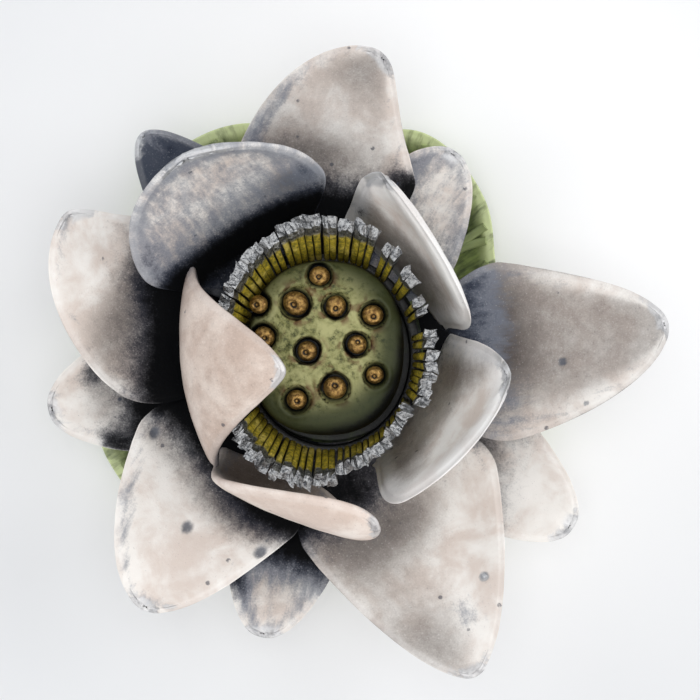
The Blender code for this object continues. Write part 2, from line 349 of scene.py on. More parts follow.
@dataclass(frozen=True)
class PetalPaint:
    """Satin cream paint: taupe and blue-grey washes, painted shade black in the creases, painted rim
    highlights, worn tips.
    """

    cream: Colour = srgb(251, 247, 242)
    rose: Colour = srgb(228, 215, 206)
    # taupe and umber darken the paint both for grime and for painted shade
    taupe: Colour = srgb(142, 134, 129)
    peach: Colour = srgb(250, 226, 210)
    umber: Colour = srgb(64, 57, 55)
    wash: Colour = srgb(124, 131, 145)
    smoke: Colour = srgb(56, 64, 80)
    # ink and night are the black of the painted shade in the creases, together with their dark patina
    ink: Colour = srgb(38, 46, 66)
    night: Colour = srgb(2, 3, 6)
    # The white of the painted rim highlight, and of pale flecks in the paint
    highlight_and_fleck_white: Colour = srgb(250, 250, 251)
    metal: Colour = srgb(214, 215, 217)
    lead: Colour = srgb(78, 86, 100)
    roughness: float = 0.4
    coat: float = 0.3
    shine: float = 0.15

    def material(self) -> bpy.types.Material:
        """Builds the paint's material.

        Returns:
            The material.
        """
        s = Shader("petal_paint")
        edge, along, open_sky, dent, silver, lip, film, dirt, soot, blush = map(
            s.attribute, ("edge", "along", "open", "dent", "silver", "lip", "wash", "dirt", "soot", "blush")
        )
        blots, clouds = s.noise(12.0, 4, 0.55, 0.5), s.noise(4.5, 5, 0.62, 0.4, shift=11)
        grain, fine = s.noise(1.5, 5, 0.66, shift=31), s.noise(0.34, 3, 0.6, shift=7)
        brushed = s.noise(1.7, 5, 0.6, 0.3, source=s.strokes(0.3))
        colour = s.blend(s.step(blots * 0.7 + clouds * 0.3, 0.4, 0.62), self.cream, self.rose)
        # Painted shade: shade grows where the petal sees little open sky, and darkens the colour towards
        # taupe, umber and the blue-grey washes
        shade = (1.0 - open_sky) * (1.0 - s.step(along, 0.8, 0.9) * s.step(edge, 1.8, 0.7))
        # dull adds painted shade to the grime layer, which itself carries painted shade, and painted
        # highlight where it is below zero
        dull = dirt + shade * 1.35 + clouds.swing(0.18) + blots.swing(0.15) + (grain + fine - 1.0) * 0.24
        colour = s.blend(s.step(dull, 0.15, 1.0) * 0.9, colour, self.taupe)
        colour = s.blend(s.step(dull, 0.7, 1.4) * 0.85, colour, self.umber)
        colour = s.blend(blush, colour, self.peach, "MULTIPLY")
        shoulder = s.math("EXPONENT", ((edge - 1.4) / 2.2) ** 2.0 * -1.0)
        # The blue-grey and smoke washes are paint and painted shade together: blue adds the painted shade of
        # little open sky to the wash
        blue = film + shoulder * 0.3 + shade * 0.75
        blue = blue + brushed.swing(1.0) + clouds.swing(0.4) + (grain + fine - 1.0) * 0.35
        colour = s.blend(s.step(blue, 0.4, 1.0) * 0.8, colour, self.wash)
        colour = s.blend(s.step(blue, 0.95, 1.55) * 0.85, colour, self.smoke)
        # Painted shade in the creases and at the roots: crease adds the shade of little open sky to the
        # crease layer and darkens through ink to black, together with the dark patina there
        crease = shade + soot + grain.swing(0.35) + clouds.swing(0.3) + fine.swing(0.3) + brushed.swing(0.3)
        colour = s.blend(s.step(crease, 0.2, 0.75) * 0.8, colour, self.ink)
        night = s.step(crease, 0.4, 1.0)
        colour = s.blend(night, colour, self.night)
        # Painted highlight: the crest of the rim, wider on a petal with a lip, is lightened towards white
        crest = s.step(edge / (lip + 1.0) + grain.swing(0.5), 1.1, 0.2) * s.step(night, 0.6, 0.1)
        colour = s.blend(crest * (0.1 + lip * 0.07), colour, self.highlight_and_fleck_white)
        tip = s.step(along + clouds.swing(0.2) + grain.swing(0.04), 0.955, 0.985)
        worn = s.step(edge + grain.swing(0.8), 2.8, 1.0) * tip * 0.75
        pit = s.step(dent + grain.swing(0.6), 1.3, 0.5)
        bare = worn.most(pit * silver)
        colour = s.blend(pit * 0.85, colour, self.lead)
        colour = s.blend(bare, colour, s.blend(s.step(clouds, 0.36, 0.58), self.lead, self.metal))
        colour = s.blend(s.step(fine + grain.swing(0.3), 0.64, 0.8) * 0.35, colour, self.smoke)
        colour = s.blend(s.step(fine, 0.4, 0.26) * 0.2 * (1.0 - night), colour, self.highlight_and_fleck_white)
        spots = s.step(s.specks(6.5, shift=19.0) + fine.swing(0.1), 0.085, 0.05) * s.step(grain, 0.42, 0.5)
        colour = s.blend(spots * 0.7, colour, self.smoke)
        rough = self.roughness + grain.swing(0.18) + night * 0.25 + clouds.swing(0.14) - bare * 0.08
        bump = s.relief(fine, 0.03, s.relief(clouds * 0.6 + grain * 0.4, 0.16))
        return s.finish(
            colour, rough, bare * 0.5, Normal=bump, Coat_Weight=(1.0 - night) * self.coat, Coat_Roughness=0.2,
            Specular_IOR_Level=self.shine,
        )


@dataclass(frozen=True)
class PodPatina:
    """Mottled olive patina on the seed pod, rusty beside some sockets, with painted black shade in the
    sockets and round the rim.
    """

    light: Colour = srgb(176, 174, 122)
    olive: Colour = srgb(134, 134, 84)
    moss: Colour = srgb(54, 60, 34)
    night: Colour = srgb(8, 10, 12)
    rust: Colour = srgb(96, 58, 36)
    roughness: float = 0.5
    coat: float = 0.06
    shine: float = 0.2

    def material(self) -> bpy.types.Material:
        """Builds the patina's material.

        Returns:
            The material.
        """
        s = Shader("pod_patina")
        socket, share, open_sky = s.attribute("socket"), s.attribute("share"), s.attribute("open")
        clouds, grain = s.noise(5.0, 5, 0.62, 0.4), s.noise(1.3, 5, 0.68, shift=9)
        fine = s.noise(0.3, 3, 0.6, shift=4)
        colour = s.blend(s.step(clouds * 0.6 + grain * 0.4, 0.4, 0.6), self.olive, self.light)
        colour = s.blend(s.step(grain * 0.6 + clouds * 0.4, 0.5, 0.34), colour, self.moss)
        stain = s.step(socket, 1.75, 1.1) * s.step(s.noise(3.2, 2, 0.5, shift=53), 0.5, 0.62)
        colour = s.blend(stain * 0.8, colour, self.rust)
        # Painted shade: black in the sockets round the seeds, moss green deepening to black towards the rim
        # and on the sides, more on one side, and black where little open sky is seen
        dark = s.step(socket + grain.swing(0.45), 1.16, 0.96)
        rim = share + grain.swing(0.1) + clouds.swing(0.16)
        colour = s.blend(s.step(rim, 0.45, 0.85) * 0.95, colour, self.moss)
        dark = dark.most(s.step(rim, 0.86, 1.05)).most(s.step(open_sky + grain.swing(0.2), 0.5, 0.2))
        colour = s.blend(dark, colour, self.night)
        bump = s.relief(fine, 0.03, s.relief(grain * 0.5 + clouds * 0.5, 0.22))
        rough = self.roughness + grain.swing(0.3)
        return s.finish(
            colour, rough, 0.0, Normal=bump, Coat_Weight=self.coat, Coat_Roughness=0.3,
            Specular_IOR_Level=self.shine,
        )


@dataclass(frozen=True)
class SeedBronze:
    """Aged golden bronze on the seeds, with painted black shade in the pit at the crown and where they meet
    the socket.
    """

    gold: Colour = srgb(190, 152, 88)
    brown: Colour = srgb(112, 82, 44)
    night: Colour = srgb(12, 11, 12)
    roughness: float = 0.36
    metallic: float = 0.75

    def material(self) -> bpy.types.Material:
        """Builds the bronze's material.

        Returns:
            The material.
        """
        s = Shader("seed_bronze")
        crown, rise = s.attribute("crown"), s.attribute("rise")
        grain = s.noise(0.7, 4, 0.6)
        colour = s.blend(s.step(grain, 0.35, 0.65), self.brown, self.gold)
        # Painted shade: black in the pit at the crown and on the low part of the seed where it sits in its
        # socket
        dark = s.step(crown + grain.swing(0.12), 0.34, 0.22)
        dark = dark.most(s.step(rise + grain.swing(0.3), 0.42, 0.2))
        colour = s.blend(dark, colour, self.night)
        return s.finish(
            colour, self.roughness + grain.swing(0.2) + dark * 0.3, (1.0 - dark) * self.metallic,
            Normal=s.relief(grain, 0.12),
        )


@dataclass(frozen=True)
class StamenPaint:
    """Ochre paint on the filaments, with painted black shade between them and at their feet, and rough bare
    metal at the cut tips.
    """

    ochre: Colour = srgb(198, 174, 52)
    mustard: Colour = srgb(206, 186, 92)
    olive: Colour = srgb(112, 106, 40)
    night: Colour = srgb(8, 9, 10)
    metal: Colour = srgb(186, 187, 188)
    tarnish: Colour = srgb(96, 98, 102)
    roughness: float = 0.42
    metallic: float = 0.92
    coat: float = 0.2

    def material(self) -> bpy.types.Material:
        """Builds the filaments' material.

        Returns:
            The material.
        """
        s = Shader("stamen_paint")
        rise, across = s.attribute("rise"), s.attribute("across")
        grain, clouds = s.noise(0.8, 5, 0.65), s.noise(4.0, 3, 0.5, shift=3)
        fine = s.noise(0.28, 3, 0.6, shift=12)
        colour = s.blend(s.step(grain, 0.36, 0.66), self.olive, self.ochre)
        colour = s.blend(s.step(clouds + grain.swing(0.5), 0.52, 0.7), colour, self.mustard)
        # Painted shade: black at the foot of each filament and in the grooves along its sides
        dark = s.step(rise + grain.swing(0.3), 0.26, 0.05)
        dark = dark.most(s.step(across + grain.swing(0.5), 0.74, 0.98))
        colour = s.blend(dark, colour, self.night)
        bare = s.step(rise + grain.swing(0.16), 0.8, 0.87)
        metal = s.blend(s.step(grain * 0.6 + fine * 0.4, 0.56, 0.4), self.metal, self.tarnish)
        colour = s.blend(bare, colour, metal)
        rough = self.roughness - bare * 0.12 + fine.swing(0.2)
        bump = s.relief(fine, 0.08, s.relief(grain, 0.22))
        return s.finish(
            colour, rough, bare * self.metallic, Normal=bump, Coat_Weight=(1.0 - bare) * self.coat,
            Coat_Roughness=0.2,
        )


@dataclass(frozen=True)
class LeafPaint:
    """Brushed green paint on the leaf, yellow-green on the raised rim and veins, with painted shade in the
    hollows where little open sky is seen.
    """

    light: Colour = srgb(214, 226, 168)
    green: Colour = srgb(140, 158, 88)
    deep: Colour = srgb(76, 88, 54)
    night: Colour = srgb(10, 14, 10)
    roughness: float = 0.48
    coat: float = 0.2

    def material(self) -> bpy.types.Material:
        """Builds the leaf's material.

        Returns:
            The material.
        """
        s = Shader("leaf_paint")
        edge, vein, open_sky = s.attribute("edge"), s.attribute("vein"), s.attribute("open")
        clouds, grain = s.noise(8.0, 4, 0.6, 0.5), s.noise(1.4, 5, 0.65, shift=5)
        fine = s.noise(0.35, 3, 0.6, shift=2)
        brushed = s.noise(0.8, 4, 0.6, source=s.strokes(0.12))
        colour = s.blend(s.step(clouds * 0.5 + brushed * 0.5, 0.4, 0.62), self.deep, self.green)
        raised = s.step(edge + grain.swing(1.6), 4.4, 0.6)
        raised = raised.most(s.step(vein + grain.swing(0.5), 0.35, 0.9) * 0.35)
        colour = s.blend(raised * s.step(brushed, 0.2, 0.55) * 0.85, colour, self.light)
        # Painted shade: the colour darkens towards black where the leaf sees little open sky, under the cup
        # and petals
        dark = s.step(open_sky + grain.swing(0.25) + clouds.swing(0.25), 0.4, 0.1)
        colour = s.blend(dark * 0.85, colour, self.night)
        rough = self.roughness + grain.swing(0.2)
        bump = s.relief(fine, 0.03, s.relief(grain * 0.5 + brushed * 0.5, 0.14))
        return s.finish(colour, rough, 0.0, Normal=bump, Coat_Weight=self.coat, Coat_Roughness=0.25)


@dataclass(frozen=True)
class CupPatina:
    """Dark green patina on the stalk and the cup, rubbed lighter on the ribs, with painted black shade where
    little open sky is seen.
    """

    green: Colour = srgb(84, 102, 50)
    deep: Colour = srgb(34, 46, 26)
    night: Colour = srgb(9, 12, 12)
    roughness: float = 0.5
    coat: float = 0.15

    def material(self) -> bpy.types.Material:
        """Builds the cup's material.

        Returns:
            The material.
        """
        s = Shader("cup_patina")
        rib, open_sky = s.attribute("rib"), s.attribute("open")
        clouds, grain = s.noise(5.0, 4, 0.6), s.noise(1.2, 5, 0.65, shift=5)
        colour = s.blend(s.step(clouds * 0.4 + grain * 0.3 + rib * 0.3, 0.4, 0.68), self.deep, self.green)
        # Painted shade: the colour darkens to black where the stalk and cup see little open sky
        dark = s.step(open_sky + grain.swing(0.3), 0.35, 0.08)
        colour = s.blend(dark, colour, self.night)
        rough, bump = self.roughness + grain.swing(0.25), s.relief(grain, 0.16)
        return s.finish(colour, rough, 0.0, Normal=bump, Coat_Weight=self.coat, Coat_Roughness=0.3)


@dataclass(frozen=True)
class StudioGround:
    """The plain pale ground that the ornament stands on, with a painted pool of light round a spot; distances
    in millimetres.
    """

    white: Colour = srgb(231, 232, 234)
    hazy: Colour = srgb(226, 228, 231)
    painted_light_pool: Colour = srgb(254, 254, 255)
    spot: tuple[float, float, float] = (14.0, 22.0, 0.0)
    spot_reach: tuple[float, float] = (44.0, 122.0)
    roughness: float = 0.55

    def material(self) -> bpy.types.Material:
        """Builds the ground's material.

        Returns:
            The material.
        """
        s = Shader("studio_ground")
        haze = s.noise(90.0, 2, 0.5)
        around = s.vector("SUBTRACT", s.place, self.spot)
        far = Signal(s, s.add("ShaderNodeVectorMath", {"operation": "LENGTH"}, in0=around).outputs["Value"])
        near, beyond = self.spot_reach
        colour = s.blend(haze * 0.2, self.white, self.hazy)
        # Painted light: the ground's colour is brightened to near white round the spot near the flower, a
        # pool of light
        colour = s.blend(s.step(far, beyond, near), colour, self.painted_light_pool)
        return s.finish(colour, self.roughness + haze * 0.05)


# --- Mesh helpers ---


def store_numbers(mesh: bpy.types.Mesh, title: str, values: Points) -> None:
    """Stores one number on each vertex under a name."""
    mesh.attributes.new(title, "FLOAT", "POINT").data.foreach_set("value", np.asarray(values, np.float32))


def mesh_piece(
    name: str, points: Points, faces: Sequence[Sequence[int]], numbers: dict[str, Points] | None = None,
    chart: Points | None = None, edges: Sequence[tuple[int, int]] = (),
) -> bpy.types.Object:
    """A smooth object at the origin.

    Args:
        name: the piece's name.
        points: one row of millimetres for each vertex.
        faces: vertex indices of each face.
        numbers: values stored on the vertices, by attribute name.
        chart: flat coordinates of each vertex in millimetres, for patterns that follow the surface.
        edges: vertex indices of loose edges, for a piece that starts as lines.

    Returns:
        The object, with its normals pointing outwards.
    """
    mesh = bpy.data.meshes.new(name)
    mesh.from_pydata((np.asarray(points) * MM).tolist(), edges, [tuple(face) for face in faces])
    for title, values in (numbers or {}).items():
        store_numbers(mesh, title, values)
    work = bmesh.new()
    work.from_mesh(mesh)
    bmesh.ops.recalc_face_normals(work, faces=work.faces)
    work.to_mesh(mesh)
    work.free()
    if chart is not None:
        layer = mesh.uv_layers.new(name="UVMap")
        corners = np.empty(len(mesh.loops), np.int32)
        mesh.loops.foreach_get("vertex_index", corners)
        layer.data.foreach_set("uv", np.asarray(chart, np.float32)[corners].ravel())
    mesh.shade_smooth()
    made = bpy.data.objects.new(name, mesh)
    bpy.context.scene.collection.objects.link(made)
    return made


def polar(radius: Points | float, angles: Points, height: Points | float) -> Points:
    """Points at a distance from the axis, at angles round it and at a height."""
    return np.column_stack([radius * np.cos(angles), radius * np.sin(angles), height + 0 * angles])


def turned_faces(rings: int, sides: int) -> list[tuple[int, ...]]:
    """Faces of a closed body whose vertices are a pole, the rings one after another and the other pole.

    Args:
        rings: how many rings there are.
        sides: how many vertices a ring has.

    Returns:
        The faces, as vertex indices.
    """
    last = 1 + (rings - 1) * sides
    faces: list[tuple[int, ...]] = []
    for here in range(sides):
        after = (here + 1) % sides
        faces.append((0, 1 + after, 1 + here))
        for low in range(1, last, sides):
            faces.append((low + here, low + after, low + sides + after, low + sides + here))
        faces.append((last + here, last + after, last + sides))
    return faces


def turned_body(
    rings: Sequence[tuple[float, float]], sides: int, place: Callable[[float, float, Points], Points],
) -> tuple[Points, list[tuple[int, ...]]]:
    """Points and faces of a closed body turned round an axis.

    Args:
        rings: (radius, height) from one pole to the other.
        sides: faces round the axis.
        place: gives the points of a ring from its radius, its height and the angles.

    Returns:
        The points and the faces.
    """
    angles = np.arange(sides) * math.tau / sides
    bottom, top = place(0.0, rings[0][1], angles[:1]), place(0.0, rings[-1][1], angles[:1])
    points = np.vstack([bottom, *(place(radius, height, angles) for radius, height in rings), top])
    return points, turned_faces(len(rings), sides)


def eased(knots: Points, spots: Points) -> Points:
    """Values on a smooth curve through evenly spaced knots, at spots counted in knots.

    Args:
        knots: the values that the curve passes through.
        spots: where the curve is read, from 0 at the first knot.

    Returns:
        The value at each spot.
    """
    last = len(knots) - 1
    low = np.clip(np.floor(spots).astype(int), 0, last - 1)
    part = (spots - low)[(...,) + (None,) * (knots.ndim - 1)]
    a, b, c, d = (knots[np.clip(low + k, 0, last)] for k in (-1, 0, 1, 2))
    return b + 0.5 * part * (c - a + part * (2 * a - 5 * b + 4 * c - d + part * (3 * (b - c) + d - a)))


@dataclass
class Cast:
    """A finished piece, the finish it is named for and the solids of the frame it stands for."""

    piece: bpy.types.Object
    slot: str
    nodes: tuple[str, ...] = ()

    def hand_over(self) -> None:
        """Rides the piece on the ornament's one body and reports it."""
        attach(self.piece, "root")
        if self.nodes:
            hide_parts(*self.nodes)
        mesh = self.piece.data
        LOG.info("%s: %d vertices, %d faces", self.piece.name, len(mesh.vertices), len(mesh.polygons))


class Sky:
    """How much open sky a point of a casting sees past the others: the finishes paint shade where it is
    little.
    """

    def __init__(self, casts: Sequence[Cast], reach: float = 26.0, rays: int = 22, seed: int = 4) -> None:
        """Gathers every surface and the directions to look in, up to a reach in millimetres.

        Args:
            casts: the pieces that can hide the sky.
            reach: how far a ray looks, in millimetres.
            rays: how many rays look out from a point.
            seed: starts the draws that spin the rays at each point.
        """
        points: list[Points] = []
        faces: list[tuple[int, ...]] = []
        start = 0
        for cast in casts:
            mesh = cast.piece.data
            spots = np.empty(3 * len(mesh.vertices), np.float32)
            mesh.vertices.foreach_get("co", spots)
            points.append(spots.reshape(-1, 3))
            faces += [tuple(start + index for index in face.vertices) for face in mesh.polygons]
            start += len(mesh.vertices)
        self.tree = BVHTree.FromPolygons(np.vstack(points).tolist(), faces)
        self.reach, self.seed = reach * MM, seed
        golden = math.pi * (3 - math.sqrt(5))
        self.rays = []
        for k in range(rays):
            high = math.sqrt((k + 0.5) / rays)
            flat = math.sqrt(1 - high * high)
            self.rays.append(Vector((flat * math.cos(golden * k), flat * math.sin(golden * k), high)))

    def _seen(self, mesh: bpy.types.Mesh, lift: float) -> Points:
        """The share of open sky above each vertex.

        Args:
            mesh: the mesh of one casting.
            lift: how far above the surface a ray starts, in millimetres.

        Returns:
            The share at each vertex, from 0 to 1.
        """
        found, up, draw = np.ones(len(mesh.vertices)), Vector((0, 0, 1)), random.Random(self.seed)
        for index, vertex in enumerate(mesh.vertices):
            normal = vertex.normal
            spin = Matrix.Rotation(draw.uniform(0, math.tau), 3, "Z")
            turn = up.rotation_difference(normal).to_matrix() @ spin
            start, total = vertex.co + normal * (lift * MM), 0.0
            for ray in self.rays:
                distance = self.tree.ray_cast(start, turn @ ray, self.reach)[3]
                total += 1.0 if distance is None else (distance / self.reach) ** 1.5
            found[index] = total / len(self.rays)
        return found

    def dress(self, piece: bpy.types.Object, lift: float = 0.2, passes: int = 5) -> None:
        """Stores the share of open sky on the vertices as "open", evened out between neighbours.

        Args:
            piece: the casting.
            lift: how far above the surface a ray starts, in millimetres.
            passes: how many times neighbours are evened out.
        """
        mesh = piece.data
        found = np.ones(len(mesh.vertices))
        if self.tree is not None:
            found = self._seen(mesh, lift)
            ends = np.empty(2 * len(mesh.edges), np.int32)
            mesh.edges.foreach_get("vertices", ends)
            first, second = ends[::2], ends[1::2]
            degree = np.bincount(ends, minlength=len(found)) + 1.0
            for _ in range(passes):
                total = found + np.bincount(first, found[second], len(found))
                found = (total + np.bincount(second, found[first], len(found))) / degree
        store_numbers(mesh, "open", found)


class GeometryTree(Graph):
    """A Geometry Nodes tree with named inputs, run once on an object and turned into a plain mesh."""

    KINDS = {float: "NodeSocketFloat", int: "NodeSocketInt", bpy.types.Object: "NodeSocketObject"}

    def __init__(self, name: str, inputs: dict[str, float | int | bpy.types.Object]) -> None:
        """Starts the tree.

        Args:
            name: the tree's name.
            inputs: the value of each named input, whose type picks the kind of socket.
        """
        tree = bpy.data.node_groups.new(name, "GeometryNodeTree")
        super().__init__(tree)
        tree.interface.new_socket("Geometry", in_out="INPUT", socket_type="NodeSocketGeometry")
        tree.interface.new_socket("Geometry", in_out="OUTPUT", socket_type="NodeSocketGeometry")
        self.values = {}
        for title, value in inputs.items():
            kind = next(kind for known, kind in self.KINDS.items() if isinstance(value, known))
            socket = tree.interface.new_socket(title, in_out="INPUT", socket_type=kind)
            self.values[socket.identifier] = value
        self.inlet = self.add("NodeGroupInput")
        self.outlet = self.add("NodeGroupOutput")
        self.geometry = self.inlet.outputs[0]

    def given(self, title: str) -> Signal:
        """A named input."""
        return Signal(self, self.inlet.outputs[title])

    def stored(
        self, geometry: object, title: str, value: object, kind: str = "FLOAT",
    ) -> bpy.types.NodeSocket:
        """Stores a value on the points under a name.

        Args:
            geometry: what holds the points.
            title: the name.
            value: one value, or one that changes from point to point.
            kind: the type of the value.

        Returns:
            The geometry with the value on it.
        """
        return self.result(
            "GeometryNodeStoreNamedAttribute", {"data_type": kind, "domain": "POINT"},
            Geometry=geometry, Name=title, Value=value,
        )

    def named(self, title: str, kind: str = "FLOAT") -> bpy.types.NodeSocket:
        """Reads a stored value."""
        return self.result("GeometryNodeInputNamedAttribute", {"data_type": kind}, Name=title)

    def number(self, title: str) -> Signal:
        """Reads a stored number."""
        return Signal(self, self.named(title))

    def parts(self, vector: bpy.types.NodeSocket) -> tuple[Signal, Signal, Signal]:
        """The X, Y and Z of a vector."""
        return tuple(Signal(self, part) for part in self.add("ShaderNodeSeparateXYZ", Vector=vector).outputs)

    def joined(self, x: object, y: object, z: object) -> bpy.types.NodeSocket:
        """A vector of X, Y and Z."""
        return self.result("ShaderNodeCombineXYZ", X=x, Y=y, Z=z)

    def draw(self, low: float, high: float, seed: Signal) -> Signal:
        """A random number for each point or instance."""
        node = self.add("FunctionNodeRandomValue", {"data_type": "FLOAT"}, Min=low, Max=high, Seed=seed)
        return Signal(self, next(s for s in node.outputs if s.enabled))

    def shifted(self, geometry: object, offset: object) -> bpy.types.NodeSocket:
        """The geometry with its points moved by an offset."""
        return self.result("GeometryNodeSetPosition", Geometry=geometry, Offset=offset)

    def close(self, geometry: object, material: bpy.types.Material, smooth_faces: bool = True) -> None:
        """Ends the tree with Realize Instances and Set Material.

        Args:
            geometry: the finished shape.
            material: what its surface is made of.
            smooth_faces: whether light runs smoothly over its edges.
        """
        real = self.result("GeometryNodeRealizeInstances", Geometry=geometry)
        smooth = self.result("GeometryNodeSetShadeSmooth", Geometry=real, Shade_Smooth=smooth_faces)
        done = self.result("GeometryNodeSetMaterial", Geometry=smooth, Material=material)
        self.feed(self.outlet.inputs[0], done)

    def run(self, piece: bpy.types.Object) -> bpy.types.Object:
        """Runs the tree on the piece and leaves its result as the piece's plain mesh.

        Args:
            piece: the object that the tree changes.

        Returns:
            The same object.
        """
        modifier = piece.modifiers.new(self.tree.name, "NODES")
        modifier.node_group = self.tree
        for identifier, value in self.values.items():
            modifier[identifier] = value
        graph = bpy.context.evaluated_depsgraph_get()
        graph.update()
        mesh = bpy.data.meshes.new_from_object(
            piece.evaluated_get(graph), preserve_all_data_layers=True, depsgraph=graph
        )
        piece.modifiers.remove(modifier)
        old, piece.data = piece.data, mesh
        bpy.data.meshes.remove(old)
        mesh.name = piece.name
        return piece


class CastRelief:
    """The slow lumps and the fine grain of a casting, pressed into the mesh along its normals.

    The stride is the distance between the noises of two seeds, in millimetres.
    """

    STRIDE = 17.3

    def __init__(self, lump: float, height: float, grain: float, depth: float) -> None:
        """Keeps the sizes, all in millimetres."""
        self.sizes = {"Lump size": lump, "Lump height": height, "Grain size": grain, "Grain depth": depth}

    def apply(self, piece: bpy.types.Object, material: bpy.types.Material, seed: float) -> None:
        """Moves the piece's surface and gives it its material.

        Args:
            piece: the casting.
            material: what its surface is made of.
            seed: picks the stretch of noise that it gets.
        """
        tree = GeometryTree(f"cast_relief_{piece.name}", {**self.sizes, "Seed": seed})
        place = tree.vector("SCALE", tree.result("GeometryNodeInputPosition"), scale=1 / MM)
        place = tree.vector("ADD", place, tree.joined(tree.given("Seed") * self.STRIDE, 0.0, 0.0))

        def swell(size: str, height: str) -> Signal:
            """Makes noise of one size, which presses the surface in by up to one height.

            Args:
                size: name of the input for the noise's size.
                height: name of the input for how deep it presses.

            Returns:
                The rise in millimetres, which is never above zero.
            """
            scale = 1.0 / tree.given(size)
            cloud = tree.result("ShaderNodeTexNoise", Vector=place, Scale=scale, Detail=2.0)
            return (Signal(tree, cloud) - 1.0) * tree.given(height)

        rise = swell("Lump size", "Lump height") + swell("Grain size", "Grain depth")
        push = tree.vector("MULTIPLY", tree.result("GeometryNodeInputNormal"), tree.joined(*(rise * MM,) * 3))
        tree.close(tree.shifted(tree.geometry, push), material)
        tree.run(piece)


# --- Petals ---


class Whorl(Enum):
    """The three rings of petals, from the widest to the one round the pod."""

    OUTER = "outer"
    BACK = "back"
    INNER = "inner"


class StainAndShade(Enum):
    """What a smudge lays on, some of it painted shade and highlight; each value names the vertex attribute
    that carries it.
    """

    WASH = "wash"
    # Grime tone together with painted shade, and painted highlight where it is below zero
    DIRT = "dirt"
    # Painted shade in the creases and at the roots, together with their dark patina
    SOOT = "soot"
    BLUSH = "blush"


@dataclass(frozen=True)
class Smudge:
    """A soft smudge of its layer on a petal's inner face, some layers being painted shade: place and size are
    shares of its length and half-width.
    """

    stain: StainAndShade
    along: float
    side: float
    length: float
    width: float
    strength: float


@dataclass(frozen=True)
class Dent:
    """A casting pit in a petal's inner face, of a radius and a depth in millimetres."""

    along: float
    side: float
    radius: float
    depth: float = 0.45
    stretch: float = 1.3
    silver: bool = False


@dataclass(frozen=True)
class Petal:
    """One petal: a cupped blade round a middle line that climbs, curls and sways from its root.

    Lengths are in millimetres and angles in degrees. The root is a distance from the axis and a height. The
    middle line leaves it at the lift, and up to the tip it turns by the curl inwards, by the sway sideways
    and by the roll about itself. The four numbers after the lip are what the whole petal carries of each
    layer: wash and blush are paint, the third is grime tone with painted shade, and painted highlight where
    it is below zero, and the fourth is painted shade in the creases and at the roots with their dark patina.
    """

    whorl: Whorl
    number: int
    azimuth: float
    root: tuple[float, float]
    length: float
    width: float
    lift: float
    curl: float
    cup: float
    lean: float = 0.0
    sway: float = 0.0
    sway_late: float = 1.0
    curl_late: float = 1.0
    roll: float = 0.0
    aim: float = 0.0
    widest: float = 0.42
    fullness: float = 1.15
    bluntness: float = 0.5
    root_share: float = 0.35
    thickness: float = 2.3
    brim: float = 0.42
    lip: float = 0.0
    wash: float = 0.1
    dirt: float = 0.1
    soot: float = 0.0
    blush: float = 0.0
    smudges: tuple[Smudge, ...] = ()
    dents: tuple[Dent, ...] = ()

    @property
    def node(self) -> str:
        """The name of the petal's solid in the frame."""
        return f"petal_{self.whorl.value}_{self.number}"


